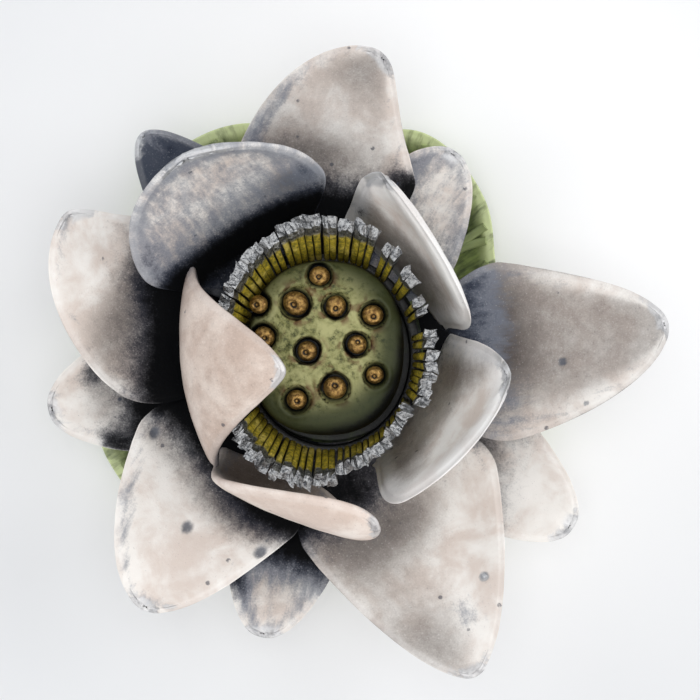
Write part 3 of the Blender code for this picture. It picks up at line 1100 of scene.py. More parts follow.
OUTER, BACK, INNER = Whorl.OUTER, Whorl.BACK, Whorl.INNER
WASH, DIRT, SOOT = StainAndShade.WASH, StainAndShade.DIRT, StainAndShade.SOOT
# Smudges of grime and shading paint shade at the roots and behind other petals, and below zero paint
# highlights on lips and upper faces; smudges of crease shade paint black shade at the roots and in the
# creases, with their dark patina
PETALS = (
    Petal(OUTER, 1, -3, (13.3, 16), 57.5, 36, 13, 16, 24, sway=17, wash=0.12, dirt=0.74, smudges=(
        Smudge(SOOT, 0.1, 0.0, 0.16, 2.0, 0.8), Smudge(DIRT, 0.4, 0.1, 0.12, 0.8, 0.35),
        Smudge(WASH, 0.3, 0.5, 0.14, 0.7, 0.9), Smudge(WASH, 0.33, -0.3, 0.1, 0.6, 0.25),
        Smudge(WASH, 0.45, -0.6, 0.1, 0.3, 0.35), Smudge(DIRT, 0.75, -0.95, 0.3, 0.25, -0.5),
        Smudge(DIRT, 0.45, -0.8, 0.15, 0.4, -0.35), Smudge(DIRT, 0.8, 0.95, 0.25, 0.15, -0.5),
    ), dents=(
        Dent(0.613, -0.217, 0.85), Dent(0.688, -0.933, 0.6, 0.3, 1.0, True),
        Dent(0.338, 0.567, 0.5, 0.3, 1.0),
    )),
    Petal(OUTER, 2, 93, (13.3, 16), 52.5, 37, 14, 20, 24, aim=2, sway=-57, sway_late=2.3, widest=0.47,
          wash=0.05, dirt=0.28, smudges=(
              Smudge(SOOT, 0.26, -0.1, 0.16, 2.0, 0.9), Smudge(SOOT, 0.47, -1.0, 0.09, 0.25, 0.6),
              Smudge(DIRT, 0.55, 0.1, 0.08, 0.5, 0.4), Smudge(WASH, 0.7, 1.0, 0.25, 0.25, 0.4),
              Smudge(DIRT, 0.92, 0.1, 0.14, 0.8, 0.55), Smudge(DIRT, 0.85, -1.0, 0.25, 0.2, -0.6),
          )),
    Petal(OUTER, 3, 167.3, (13.5, 17.8), 51.8, 39.5, 13, 24, 24, aim=2, sway=-58, sway_late=2.0, widest=0.47,
          bluntness=0.58, wash=0.05, dirt=0.05, smudges=(
              Smudge(SOOT, 0.3, 0.25, 0.18, 1.5, 1.0), Smudge(SOOT, 0.5, -0.2, 0.16, 0.35, 0.35),
              Smudge(DIRT, 0.57, 0.3, 0.13, 0.9, 0.7), Smudge(DIRT, 0.85, -0.7, 0.14, 0.5, -0.7),
              Smudge(DIRT, 0.95, -0.1, 0.16, 0.9, -0.8), Smudge(WASH, 0.95, 0.6, 0.1, 0.5, 0.3),
              Smudge(WASH, 0.85, -0.8, 0.18, 0.4, -0.4),
          )),
    Petal(OUTER, 4, 225.7, (13, 15.5), 53.7, 38.5, 12, 15, 24, sway=20, widest=0.44, wash=-0.05, dirt=-0.12,
          smudges=(
              Smudge(SOOT, 0.28, 0.2, 0.13, 2.0, 0.95), Smudge(SOOT, 0.42, 0.8, 0.12, 0.7, 0.45),
              Smudge(DIRT, 0.5, 0.45, 0.1, 0.7, 0.75), Smudge(DIRT, 0.45, -0.8, 0.06, 0.8, 0.45),
              Smudge(WASH, 0.75, -0.9, 0.25, 0.25, 0.45), Smudge(WASH, 0.97, 0.0, 0.06, 0.8, 0.4),
          ), dents=(
              Dent(0.438, -0.85, 1.15), Dent(0.65, 0.017, 1.15), Dent(0.594, 0.95, 1.25),
              Dent(0.531, 0.883, 0.4, 0.25, 1.0), Dent(0.525, -0.167, 0.35, 0.2, 1.0, True),
              Dent(0.475, 0.8, 0.3, 0.2, 1.0),
          )),
    Petal(OUTER, 5, 294, (12, 12.7), 62.3, 43, 12, 15, 24, widest=0.39, bluntness=0.6, wash=0.0, dirt=0.2,
          smudges=(
              Smudge(SOOT, 0.27, -0.6, 0.13, 0.7, 0.7), Smudge(DIRT, 0.48, -0.6, 0.14, 0.5, 0.6),
              Smudge(DIRT, 0.85, -0.6, 0.2, 0.9, 0.6), Smudge(DIRT, 0.43, 0.0, 0.12, 0.4, 0.55),
              Smudge(WASH, 0.82, 0.35, 0.08, 0.35, 0.6), Smudge(WASH, 0.45, -0.3, 0.1, 0.3, 0.35),
              Smudge(WASH, 0.7, 0.3, 0.12, 0.3, 0.25), Smudge(DIRT, 0.7, 0.95, 0.35, 0.5, -0.5),
          ), dents=(Dent(0.725, 0.717, 0.95, 0.4, 1.0, True),)),
    Petal(BACK, 1, 58, (11, 9), 37.5, 25, 8, 8, 20, bluntness=0.45, fullness=1.4, wash=0.4, dirt=0.15,
          smudges=(
              Smudge(SOOT, 0.45, 0.2, 0.14, 1.2, 0.4), Smudge(WASH, 0.6, 0.7, 0.3, 0.4, 0.3),
              Smudge(WASH, 0.85, 0.6, 0.15, 0.4, 0.15), Smudge(DIRT, 0.95, -0.7, 0.3, 0.7, -0.35),
          )),
    Petal(BACK, 2, 131.2, (11, 9), 49, 25, 8, 16, 30, wash=0.7, dirt=0.75, smudges=(
        Smudge(SOOT, 0.72, 0.0, 0.14, 1.2, 0.5), Smudge(WASH, 0.8, 0.0, 0.18, 1.2, 0.9),
        Smudge(SOOT, 0.9, -0.4, 0.05, 0.4, 0.3), Smudge(WASH, 0.84, 0.97, 0.15, 0.4, 0.8),
        Smudge(DIRT, 0.9, 1.0, 0.15, 0.4, 0.6),
    )),
    Petal(BACK, 3, 192, (11, 9), 48.6, 30, 8, 8, 22, bluntness=0.45, wash=0.1, dirt=-0.05, smudges=(
        Smudge(SOOT, 0.58, 0.2, 0.12, 1.5, 0.8), Smudge(SOOT, 0.77, 0.95, 0.08, 0.35, 0.6),
        Smudge(SOOT, 0.8, -0.6, 0.07, 0.4, 0.45), Smudge(DIRT, 0.78, 0.0, 0.1, 0.8, 0.5),
    )),
    Petal(BACK, 4, 256.5, (11, 9), 50, 28, 8, 8, 20, bluntness=0.45, wash=0.35, dirt=0.25, smudges=(
        Smudge(SOOT, 0.6, 0.3, 0.1, 1.2, 0.7), Smudge(SOOT, 0.82, -0.95, 0.12, 0.3, 0.5),
        Smudge(WASH, 0.75, -0.8, 0.3, 0.3, 0.35), Smudge(WASH, 0.68, 0.2, 0.1, 1.0, 0.6),
        Smudge(DIRT, 0.85, 0.9, 0.2, 0.3, -0.4),
    )),
    Petal(BACK, 5, 323.5, (11, 9), 51, 29, 8, 6, 18, bluntness=0.45, wash=-0.15, dirt=-0.2),
    Petal(INNER, 1, 187, (23, 25), 41.5, 39, 40, 150, 20, aim=-2, lean=2, sway=14, sway_late=2.5,
          bluntness=0.7, fullness=1.0, widest=0.34, root_share=0.5, thickness=2.8, brim=0.7, wash=-0.2,
          dirt=0.48, blush=0.52),
    Petal(INNER, 2, 235.4, (27.4, 22.9), 40.1, 29, 51, 59, 22, aim=21, lean=4, sway=60, sway_late=0.66,
          roll=-48, curl_late=1.06, widest=0.46, root_share=0.45, thickness=2.8, brim=0.8, wash=-0.1,
          dirt=0.25, soot=-0.3, blush=0.38),
    Petal(INNER, 3, 308.5, (22.4, 25), 36, 39, 67, 8, 24, aim=12, lean=14, sway=44, sway_late=0.7, roll=14,
          root_share=0.38, thickness=2.8, brim=0.75, lip=5.5, wash=-0.1, dirt=-0.35, soot=-0.6, smudges=(
              Smudge(SOOT, 0.4, 1.0, 0.25, 0.3, 0.6), Smudge(DIRT, 0.85, -0.9, 0.3, 0.6, -0.8),
              Smudge(DIRT, 0.8, 0.5, 0.3, 0.6, 0.9), Smudge(DIRT, 0.38, -0.8, 0.2, 0.6, 0.9),
              Smudge(DIRT, 0.92, 1.0, 0.1, 0.3, 0.8),
          )),
    Petal(INNER, 4, 29.3, (22, 25), 35, 38, 71, 8, 24, aim=7, lean=14, sway=50, sway_late=0.7,
          root_share=0.38, thickness=3.0, brim=0.8, lip=5.5, wash=-0.15, dirt=0.0, soot=-0.65, smudges=(
              Smudge(SOOT, 0.68, 0.9, 0.12, 0.3, 0.8), Smudge(DIRT, 0.85, -0.6, 0.25, 0.8, -0.6),
              Smudge(DIRT, 0.9, 0.9, 0.2, 0.4, 0.6), Smudge(DIRT, 0.45, -0.8, 0.16, 0.5, 0.5),
          )),
    Petal(INNER, 5, 128.6, (21.8, 24.3), 37.8, 41, 32, 34, 20, aim=-5, roll=-10, fullness=1.8, bluntness=0.45,
          root_share=0.5, thickness=2.6, brim=0.7, wash=0.68, dirt=0.12, soot=-0.1, smudges=(
              Smudge(SOOT, 0.24, 0.0, 0.12, 1.8, 0.9), Smudge(DIRT, 0.42, 0.3, 0.12, 1.0, 0.1),
              Smudge(SOOT, 0.55, 0.9, 0.12, 0.2, 0.35),
              Smudge(DIRT, 0.47, -0.8, 0.1, 0.35, 0.9), Smudge(DIRT, 0.93, 0.2, 0.08, 0.6, 0.4),
              Smudge(DIRT, 0.97, -0.5, 0.06, 0.5, -0.5),
          )),
)


# The distance from a pit, in its radii, that is noted where there is none.
FAR_OFF = 9.0


@dataclass
class PetalCasting:
    """Builds one petal.

    The shoulder is how far in from the rim the blade reaches its full thickness, crowding and gather draw
    vertices to the tip and to the sides, narrow is the half-width below which the blade faces as its middle
    line does, bulge is how far the rim stands out in half-thicknesses, and last is the share of the length
    past which directions are no longer measured.
    """

    petal: Petal
    rows: int = 84
    columns: int = 44
    rim_steps: int = 8
    walk_steps: int = 48
    claw: float = 1.6
    shoulder: float = 4.5
    crowding: float = 1.6
    gather: float = 0.65
    narrow: float = 5.0
    bulge: float = 0.8
    last: float = 0.985
    frames: tuple[Points, Points, Points] = field(init=False)

    def __post_init__(self) -> None:
        """Walks the middle line."""
        self.frames = self._middle_line()

    def _middle_line(self) -> tuple[Points, Points, Points]:
        """The middle line's points, its directions across and its directions inward.

        Returns:
            One row for each step, in three arrays.
        """
        petal = self.petal
        out, slope = math.radians(petal.azimuth), math.radians(petal.lift)
        heading = math.radians(petal.azimuth + petal.aim)
        point = np.array((petal.root[0] * math.cos(out), petal.root[0] * math.sin(out), petal.root[1]))
        ahead = np.array(
            (math.cos(slope) * math.cos(heading), math.cos(slope) * math.sin(heading), math.sin(slope))
        )
        across = np.array((-math.sin(heading), math.cos(heading), 0.0))
        inward = np.cross(ahead, across)
        ahead, across = self._turned(ahead, across, petal.lean)
        found = [(point, across, inward)]
        for step in range(self.walk_steps):
            here, after = step / self.walk_steps, (step + 1) / self.walk_steps
            curl = petal.curl * (after**petal.curl_late - here**petal.curl_late)
            sway = petal.sway * (after**petal.sway_late - here**petal.sway_late)
            ahead, inward = self._turned(ahead, inward, curl)
            ahead, across = self._turned(ahead, across, sway)
            across, inward = self._turned(across, inward, petal.roll / self.walk_steps)
            point = point + ahead * (petal.length / self.walk_steps)
            found.append((point, across, inward))
        return tuple(np.array(column) for column in zip(*found))

    @staticmethod
    def _turned(first: Points, second: Points, degrees: float) -> tuple[Points, Points]:
        """Two square directions, after the first has turned towards the second."""
        cos, sin = math.cos(math.radians(degrees)), math.sin(math.radians(degrees))
        return first * cos + second * sin, second * cos - first * sin

    def half_width(self, along: Points) -> Points:
        """Half the blade's width in millimetres at shares of its length.

        Args:
            along: shares of the length.

        Returns:
            The half-width at each.
        """
        petal = self.petal
        grown = np.sin(0.5 * np.pi * np.clip(along / petal.widest, 0, 1)) ** self.claw
        past = np.clip((along - petal.widest) / (1 - petal.widest), 0, 1)
        share = np.where(
            along < petal.widest,
            petal.root_share + (1 - petal.root_share) * grown,
            np.maximum(0, 1 - past**petal.fullness) ** petal.bluntness,
        )
        return 0.5 * petal.width * share

    def surface(self, along: Points, side: Points) -> Points:
        """Points of the blade's middle surface.

        Args:
            along: shares of the length.
            side: shares of the half-width, from -1 to 1.

        Returns:
            The points.
        """
        along, side = np.broadcast_arrays(along, side)
        point, across, inward = (eased(knots, along * self.walk_steps) for knots in self.frames)
        half, cup = self.half_width(along)[..., None], math.radians(self.petal.cup)
        turn = (cup * side)[..., None]
        return point + across * (half * np.sin(turn) / cup) + inward * (half * (1 - np.cos(turn)) / cup)

    def normals(self, along: Points, side: Points) -> Points:
        """Directions from the outer face to the inner face.

        Args:
            along: shares of the length.
            side: shares of the half-width, from -1 to 1.

        Returns:
            The directions, of length 1.
        """
        nudge = 0.01
        low, high = np.maximum(0, along - nudge), np.minimum(self.last, along + nudge)
        low = np.minimum(low, high - nudge)
        here = np.minimum(along, self.last)
        lengthwise = self.surface(high, side) - self.surface(low, side)
        crosswise = self.surface(here, side + nudge) - self.surface(here, side - nudge)
        found = np.cross(lengthwise, crosswise)
        return found / np.linalg.norm(found, axis=-1, keepdims=True)

    def _press_dents(self, points: Points, normals: Points) -> tuple[Points, Points]:
        """Presses the pits into the inner face.

        Args:
            points: places on the inner face, which are moved.
            normals: directions towards the inner face.

        Returns:
            The distance from the nearest pit in its radii, and whether that pit shows bare metal.
        """
        nearest, silver = np.full(len(points), FAR_OFF), np.zeros(len(points))
        for dent in self.petal.dents:
            along, side = np.array([dent.along]), np.array([dent.side])
            lift = self.normals(along, side)[0] * (0.5 * self.petal.thickness)
            spot = self.surface(along, side)[0] + lift
            axis = self.surface(along + 0.02, side)[0] + lift - spot
            axis /= np.linalg.norm(axis)
            away = points - spot
            run = away @ axis
            across = np.linalg.norm(away - run[:, None] * axis, axis=1)
            ratio = np.hypot(run / dent.stretch, across) / dent.radius
            bowl = np.where(ratio < 1, (1 - np.minimum(1, ratio) ** 2) ** 0.7, 0.0)
            points -= normals * (dent.depth * bowl)[:, None]
            silver = np.where(ratio < nearest, float(dent.silver), silver)
            nearest = np.minimum(nearest, ratio)
        return nearest, silver

    def _stained(self, stain: StainAndShade, along: Points, side: Points, inner: Points) -> Points:
        """How much of a layer each vertex carries, some layers being painted shade.

        Args:
            stain: the stain.
            along: shares of the length.
            side: shares of the half-width, from -1 to 1.
            inner: 1 on the inner face and -1 on the outer one.

        Returns:
            The amount at each vertex.
        """
        film = np.full(len(along), getattr(self.petal, stain.value))
        for smudge in self.petal.smudges:
            if smudge.stain is stain:
                run, off = (along - smudge.along) / smudge.length, (side - smudge.side) / smudge.width
                film += smudge.strength * np.exp(-(run**2 + off**2)) * np.clip(0.5 + 0.5 * inner, 0, 1)
        return film

    def _crown(self, turns: Points) -> Points:
        """Height of the rim's section, which starts lower on a petal with a lip."""
        high = np.cos(turns)
        return 0.5 * (high - 1) if self.petal.lip else high

    def _grid(self) -> tuple[Points, Points]:
        """Shares of the length and of the half-width at the vertices of one face; the last is the tip.

        Returns:
            Both shares at each vertex.
        """
        shares = 1 - (1 - np.arange(self.rows) / self.rows) ** self.crowding
        even = 2 * np.arange(self.columns + 1) / self.columns - 1
        sides = self.gather * np.sin(0.5 * np.pi * even) + (1 - self.gather) * even
        along, side = (grid.ravel() for grid in np.meshgrid(shares, sides, indexing="ij"))
        return np.append(along, 1.0), np.append(side, 0.0)

    def _facing(self, along: Points, side: Points) -> Points:
        """Directions to the inner face, levelled across where the blade is narrow.

        Args:
            along: shares of the length.
            side: shares of the half-width, from -1 to 1.

        Returns:
            The directions, of length 1.
        """
        spread = np.clip(self.half_width(along) / self.narrow, 0, 1)[:, None]
        found = self.normals(along, 0 * side) * (1 - spread) + self.normals(along, side) * spread
        return found / np.linalg.norm(found, axis=1, keepdims=True)

    def _at(self, row: int, column: int) -> int:
        """The index of a vertex of the grid."""
        return row * (self.columns + 1) + column

    def _outline(self) -> list[int]:
        """The vertices of the grid along the rim: across the root, up one side, over the tip and back.

        Returns:
            Their indices, in order.
        """
        rows, columns = self.rows, self.columns
        root = [self._at(0, column) for column in range(columns, -1, -1)]
        up = [self._at(row, 0) for row in range(1, rows)]
        down = [self._at(row, columns) for row in range(rows - 1, 0, -1)]
        return [*root, *up, self._at(rows, 0), *down]

    def _faces(self, outline: list[int]) -> list[tuple[int, ...]]:
        """Faces of the inner side, of the outer side and of the rim between them.

        Args:
            outline: the vertices along the rim, in order.

        Returns:
            The faces, as vertex indices.
        """
        at, rows, steps = self._at, self.rows, self.rim_steps
        tip = at(rows, 0)
        count = tip + 1
        faces: list[tuple[int, ...]] = []
        for row in range(rows - 1):
            for column in range(self.columns):
                a, b = at(row, column), at(row + 1, column)
                c, d = b + 1, a + 1
                faces += [(a, b, c, d), (count + a, count + d, count + c, count + b)]
        for column in range(self.columns):
            a, b = at(rows - 1, column), at(rows - 1, column + 1)
            faces += [(a, tip, b), (count + b, count + tip, count + a)]
        ribs = [
            [here, *range(2 * count + k * (steps - 1), 2 * count + (k + 1) * (steps - 1)), count + here]
            for k, here in enumerate(outline)
        ]
        for first, second in zip(ribs, ribs[1:] + ribs[:1]):
            faces += [(first[s], first[s + 1], second[s + 1], second[s]) for s in range(steps)]
        return faces

    def build(self) -> bpy.types.Object:
        """The petal as a closed blade with a round rim.

        Returns:
            The petal, with what its paint reads stored on its vertices.
        """
        half, brim, lip = 0.5 * self.petal.thickness, self.petal.brim, self.petal.lip
        along, side = self._grid()
        middle, normal = self.surface(along, side), self._facing(along, side)
        outline = self._outline()
        tangent = middle[np.roll(outline, -1)] - middle[np.roll(outline, 1)]
        outward = np.cross(tangent, normal[outline])
        outward /= np.linalg.norm(outward, axis=1, keepdims=True)
        outward *= np.sign(((middle[outline] - middle.mean(axis=0)) * outward).sum())
        turns = np.pi * np.arange(1, self.rim_steps) / self.rim_steps
        bulge, crown = self.bulge * half * np.sin(turns), half * brim * self._crown(turns)
        rim = middle[outline][:, None] + outward[:, None] * bulge[:, None]
        rim = (rim + normal[outline][:, None] * crown[:, None]).reshape(-1, 3)
        edge = np.minimum(self.half_width(along) * (1 - np.abs(side)), (1 - along) * self.petal.length)

        def arch(width: float) -> Points:
            """A quarter-round rise from 0 at the rim to 1 at the width."""
            return np.sqrt(1 - (1 - np.clip(edge / width, 0, 1)) ** 2)[:, None]

        def everywhere(values: Points) -> Points:
            """Values of the grid at the vertices of the inner side, of the outer side and of the rim."""
            return np.concatenate([values, values, np.repeat(values[outline], len(turns), axis=0)])

        wall = half * (brim + (1 - brim) * arch(self.shoulder))
        bevel = half * brim * (lip > 0) * (1 - arch(max(lip, 0.1)))
        points = np.vstack([middle + normal * (wall - bevel), middle - normal * wall, rim])
        ones = np.ones(len(along))
        inner = np.concatenate([ones, -ones, np.tile(np.cos(turns), len(outline))])
        front = inner > 0.99
        dent, silver = np.full(len(points), FAR_OFF), np.zeros(len(points))
        moved = points[front]
        dent[front], silver[front] = self._press_dents(moved, everywhere(normal)[front])
        points[front] = moved
        along, side = everywhere(along), everywhere(side)
        chart = np.column_stack([self.half_width(along) * side, along * self.petal.length])
        inset = np.concatenate([edge, edge, -np.tile(bulge, len(outline))])
        numbers = {"edge": inset, "along": along, "dent": dent, "silver": silver}
        numbers["lip"] = np.full(len(points), lip)
        for stain in StainAndShade:
            numbers[stain.value] = self._stained(stain, along, side, inner)
        return mesh_piece(f"cast_{self.petal.node}", points, self._faces(outline), numbers, chart)


@dataclass
class Blossom:
    """The fifteen petals, in one paint."""

    petals: tuple[Petal, ...] = PETALS
    paint: PetalPaint = PetalPaint()
    relief: CastRelief = field(
        default_factory=lambda: CastRelief(lump=12.0, height=0.5, grain=3.0, depth=0.08)
    )

    def build(self) -> list[Cast]:
        """Builds each petal and roughens it.

        Returns:
            The petals.
        """
        material = self.paint.material()
        casts = []
        for seed, petal in enumerate(self.petals):
            piece = PetalCasting(petal).build()
            self.relief.apply(piece, material, seed=float(seed))
            casts.append(Cast(piece, "petals", (petal.node,)))
        return casts


# --- Seed pod ---


@dataclass
class SeedPod:
    """The oval flat-topped pod with a socket for each seed, and the seeds.

    Skirt is the depth below the top where the painted black shade of the side starts; slant and ease widen
    the painted shade of the rim towards one side of the top and narrow it towards the other.
    """

    centre: tuple[float, float] = (-0.8, 0.4)
    half_size: tuple[float, float] = (15.4, 17.2)
    top: float = 38.0
    squareness: float = 2.3
    profile: tuple[tuple[float, float], ...] = (
        (0.66, -11.4), (0.86, -7.0), (0.98, -3.6), (1.0, -2.2), (0.95, -0.9), (0.82, -0.15), (0.5, 0.35),
    )
    seeds: tuple[tuple[float, float, float], ...] = (
        (-2.0, 14.6, 0.95), (-6.7, 9.2, 1.18), (-14.0, 9.0, 0.92), (1.2, 8.6, 1.0), (8.5, 6.9, 1.0),
        (-12.9, 2.6, 1.0), (-4.4, -0.2, 1.0), (5.4, 1.1, 0.96), (8.9, -4.9, 0.88), (1.0, -7.4, 1.12),
        (-6.5, -9.8, 1.0), (-12.4, -4.0, 0.9),
    )
    seed_radius: float = 2.0
    socket_radius: float = 2.7
    socket_depth: float = 2.4
    lip_height: float = 0.3
    seed_depth: float = 1.2
    seed_tilt: float = 0.42
    skirt: float = 2.2
    slant: float = 0.12
    ease: float = 0.6
    sides: int = 240

    def _oval(self, x: Points, y: Points, power: float) -> Points:
        """The size of the pod-shaped oval through each point, to a power."""
        return (np.abs(x) ** self.squareness + np.abs(y) ** self.squareness) ** (power / self.squareness)

    def _place(self, share: float, height: float, angles: Points) -> Points:
        """Points of one ring of the pod.

        Args:
            share: the size of the ring as a share of the pod's.
            height: its height above the top of the pod.
            angles: where its points are, in radians.

        Returns:
            The points.
        """
        x, y = np.cos(angles), np.sin(angles)
        stretch = self._oval(x, y, -1)
        return np.column_stack([
            self.centre[0] + self.half_size[0] * share * stretch * x,
            self.centre[1] + self.half_size[1] * share * stretch * y,
            np.full(len(angles), self.top + height),
        ])

    def _body(self) -> bpy.types.Object:
        """The pod before its sockets are pressed in.

        Returns:
            The pod.
        """
        knots = np.array(self.profile)
        side = eased(knots, np.linspace(0, len(knots) - 1, 60))
        crown = [(0.5 * (1 - k / 62), 0.35 + 0.1 * math.sin(0.5 * math.pi * k / 62)) for k in range(1, 61)]
        rings = [(0.3, -11.4), *map(tuple, side), *crown]
        points, faces = turned_body(rings, self.sides, self._place)
        x, y = ((points[:, k] - self.centre[k]) / self.half_size[k] for k in (0, 1))
        # share carries painted shade: it grows towards the rim and towards one side, and marks the sides
        # below the skirt fully shaded
        share = self._oval(x, y, 1) + self.slant * (x - y - self.ease)
        share = np.where(points[:, 2] < self.top - self.skirt, 1.2, share)
        return mesh_piece("seed_pod_cast", points, faces, {"share": share})

    def _seed_points(self) -> bpy.types.Object:
        """One loose vertex for each seed, with its size."""
        points = np.array([(x, y, self.top) for x, y, _ in self.seeds])
        return mesh_piece("seed_places", points, [], {"size": [size for *_, size in self.seeds]})

    def _press_sockets(
        self, pod: bpy.types.Object, places: bpy.types.Object, material: bpy.types.Material,
    ) -> None:
        """Presses a socket with a soft lip round each seed.

        Args:
            pod: the pod.
            places: the loose vertices of the seeds.
            material: what its surface is made of.
        """
        tree = GeometryTree("sockets", {
            "Seed places": places, "Socket radius": self.socket_radius, "Socket depth": self.socket_depth,
            "Lip height": self.lip_height, "Plane": self.top, "Seed": 3,
        })
        spots = tree.add("GeometryNodeObjectInfo", Object=tree.given("Seed places")).outputs["Geometry"]
        x, y, z = tree.parts(tree.result("GeometryNodeInputPosition"))
        flat = tree.joined(x, y, tree.given("Plane") * MM)
        wobble = Signal(tree, tree.result("ShaderNodeTexNoise", Vector=flat, Scale=420.0, Detail=2.0))
        near = tree.add(
            "GeometryNodeProximity", {"target_element": "POINTS"}, Geometry=spots, Sample_Position=flat,
        ).outputs["Distance"]
        nearest = tree.result(
            "GeometryNodeSampleNearest", {"domain": "POINT"}, Geometry=spots, Sample_Position=flat,
        )
        size = tree.result(
            "GeometryNodeSampleIndex", {"data_type": "FLOAT", "domain": "POINT"}, Geometry=spots,
            Value=tree.named("size"), Index=nearest,
        )
        ratio = Signal(tree, near) * (1 / MM) / (tree.given("Socket radius") * Signal(tree, size))
        ratio = ratio + wobble.swing(0.22)
        sink = tree.step(ratio, 1.12, 0.86) * tree.given("Socket depth")
        lip = tree.math("EXPONENT", ((ratio - 1.28) / 0.2) ** 2.0 * -1.0) * tree.given("Lip height")
        upper = tree.step(z * (1 / MM) - tree.given("Plane"), -3.0, -1.2)
        moved = tree.shifted(tree.geometry, tree.joined(0.0, 0.0, (lip - sink) * upper * MM))
        tree.close(tree.stored(moved, "socket", ratio + (1.0 - upper) * 5.0), material)
        tree.run(pod)

    def _grow_seeds(self, places: bpy.types.Object, material: bpy.types.Material) -> bpy.types.Object:
        """A seed on each place: a squat ball with a pit at its crown, each tilted its own way.

        Args:
            places: the loose vertices of the seeds.
            material: what its surface is made of.

        Returns:
            The seeds.
        """
        tree = GeometryTree("seeds", {
            "Radius": self.seed_radius, "Depth": self.seed_depth, "Tilt": self.seed_tilt, "Seed": 11,
        })
        ball = tree.result("GeometryNodeMeshUVSphere", Segments=28, Rings=18, Radius=1.0)
        x, y, z = tree.parts(tree.result("GeometryNodeInputPosition"))
        off = tree.math("SQRT", x * x + y * y)
        pit = tree.math("EXPONENT", (off / 0.24) ** 2.0 * -1.0) * tree.step(z, 0.0, 0.5)
        shaped = tree.shifted(ball, tree.joined(0.0, 0.0, pit * -0.6 + z * -0.12))
        shaped = tree.stored(shaped, "crown", off + tree.step(z, 0.5, 0.0) * 3.0)
        shaped = tree.stored(shaped, "rise", z * 0.5 + 0.5)
        tilt, seed = tree.given("Tilt"), tree.given("Seed")
        lean = tree.joined(
            tree.draw(-1.0, 1.0, seed) * tilt, tree.draw(-1.0, 1.0, seed + 1.0) * tilt,
            tree.draw(0.0, 6.28, seed + 2.0),
        )
        size = tree.number("size") * tree.given("Radius") * MM
        long = tree.draw(0.92, 1.12, seed + 3.0)
        sunk = tree.shifted(tree.geometry, tree.joined(0.0, 0.0, tree.given("Depth") * -MM))
        grown = tree.result(
            "GeometryNodeInstanceOnPoints", Points=sunk, Instance=shaped, Rotation=lean,
            Scale=tree.joined(size, size * long, size * 0.98),
        )
        tree.close(grown, material)
        places.name = "seeds"
        return tree.run(places)

    def build(self) -> list[Cast]:
        """Builds the pod and its seeds.

        Returns:
            The pod and the seeds.
        """
        pod, places = self._body(), self._seed_points()
        self._press_sockets(pod, places, PodPatina().material())
        seeds = self._grow_seeds(places, SeedBronze().material())
        return [Cast(pod, "pod", ("seed_pod",)), Cast(seeds, "seeds")]


# --- Stamens ---


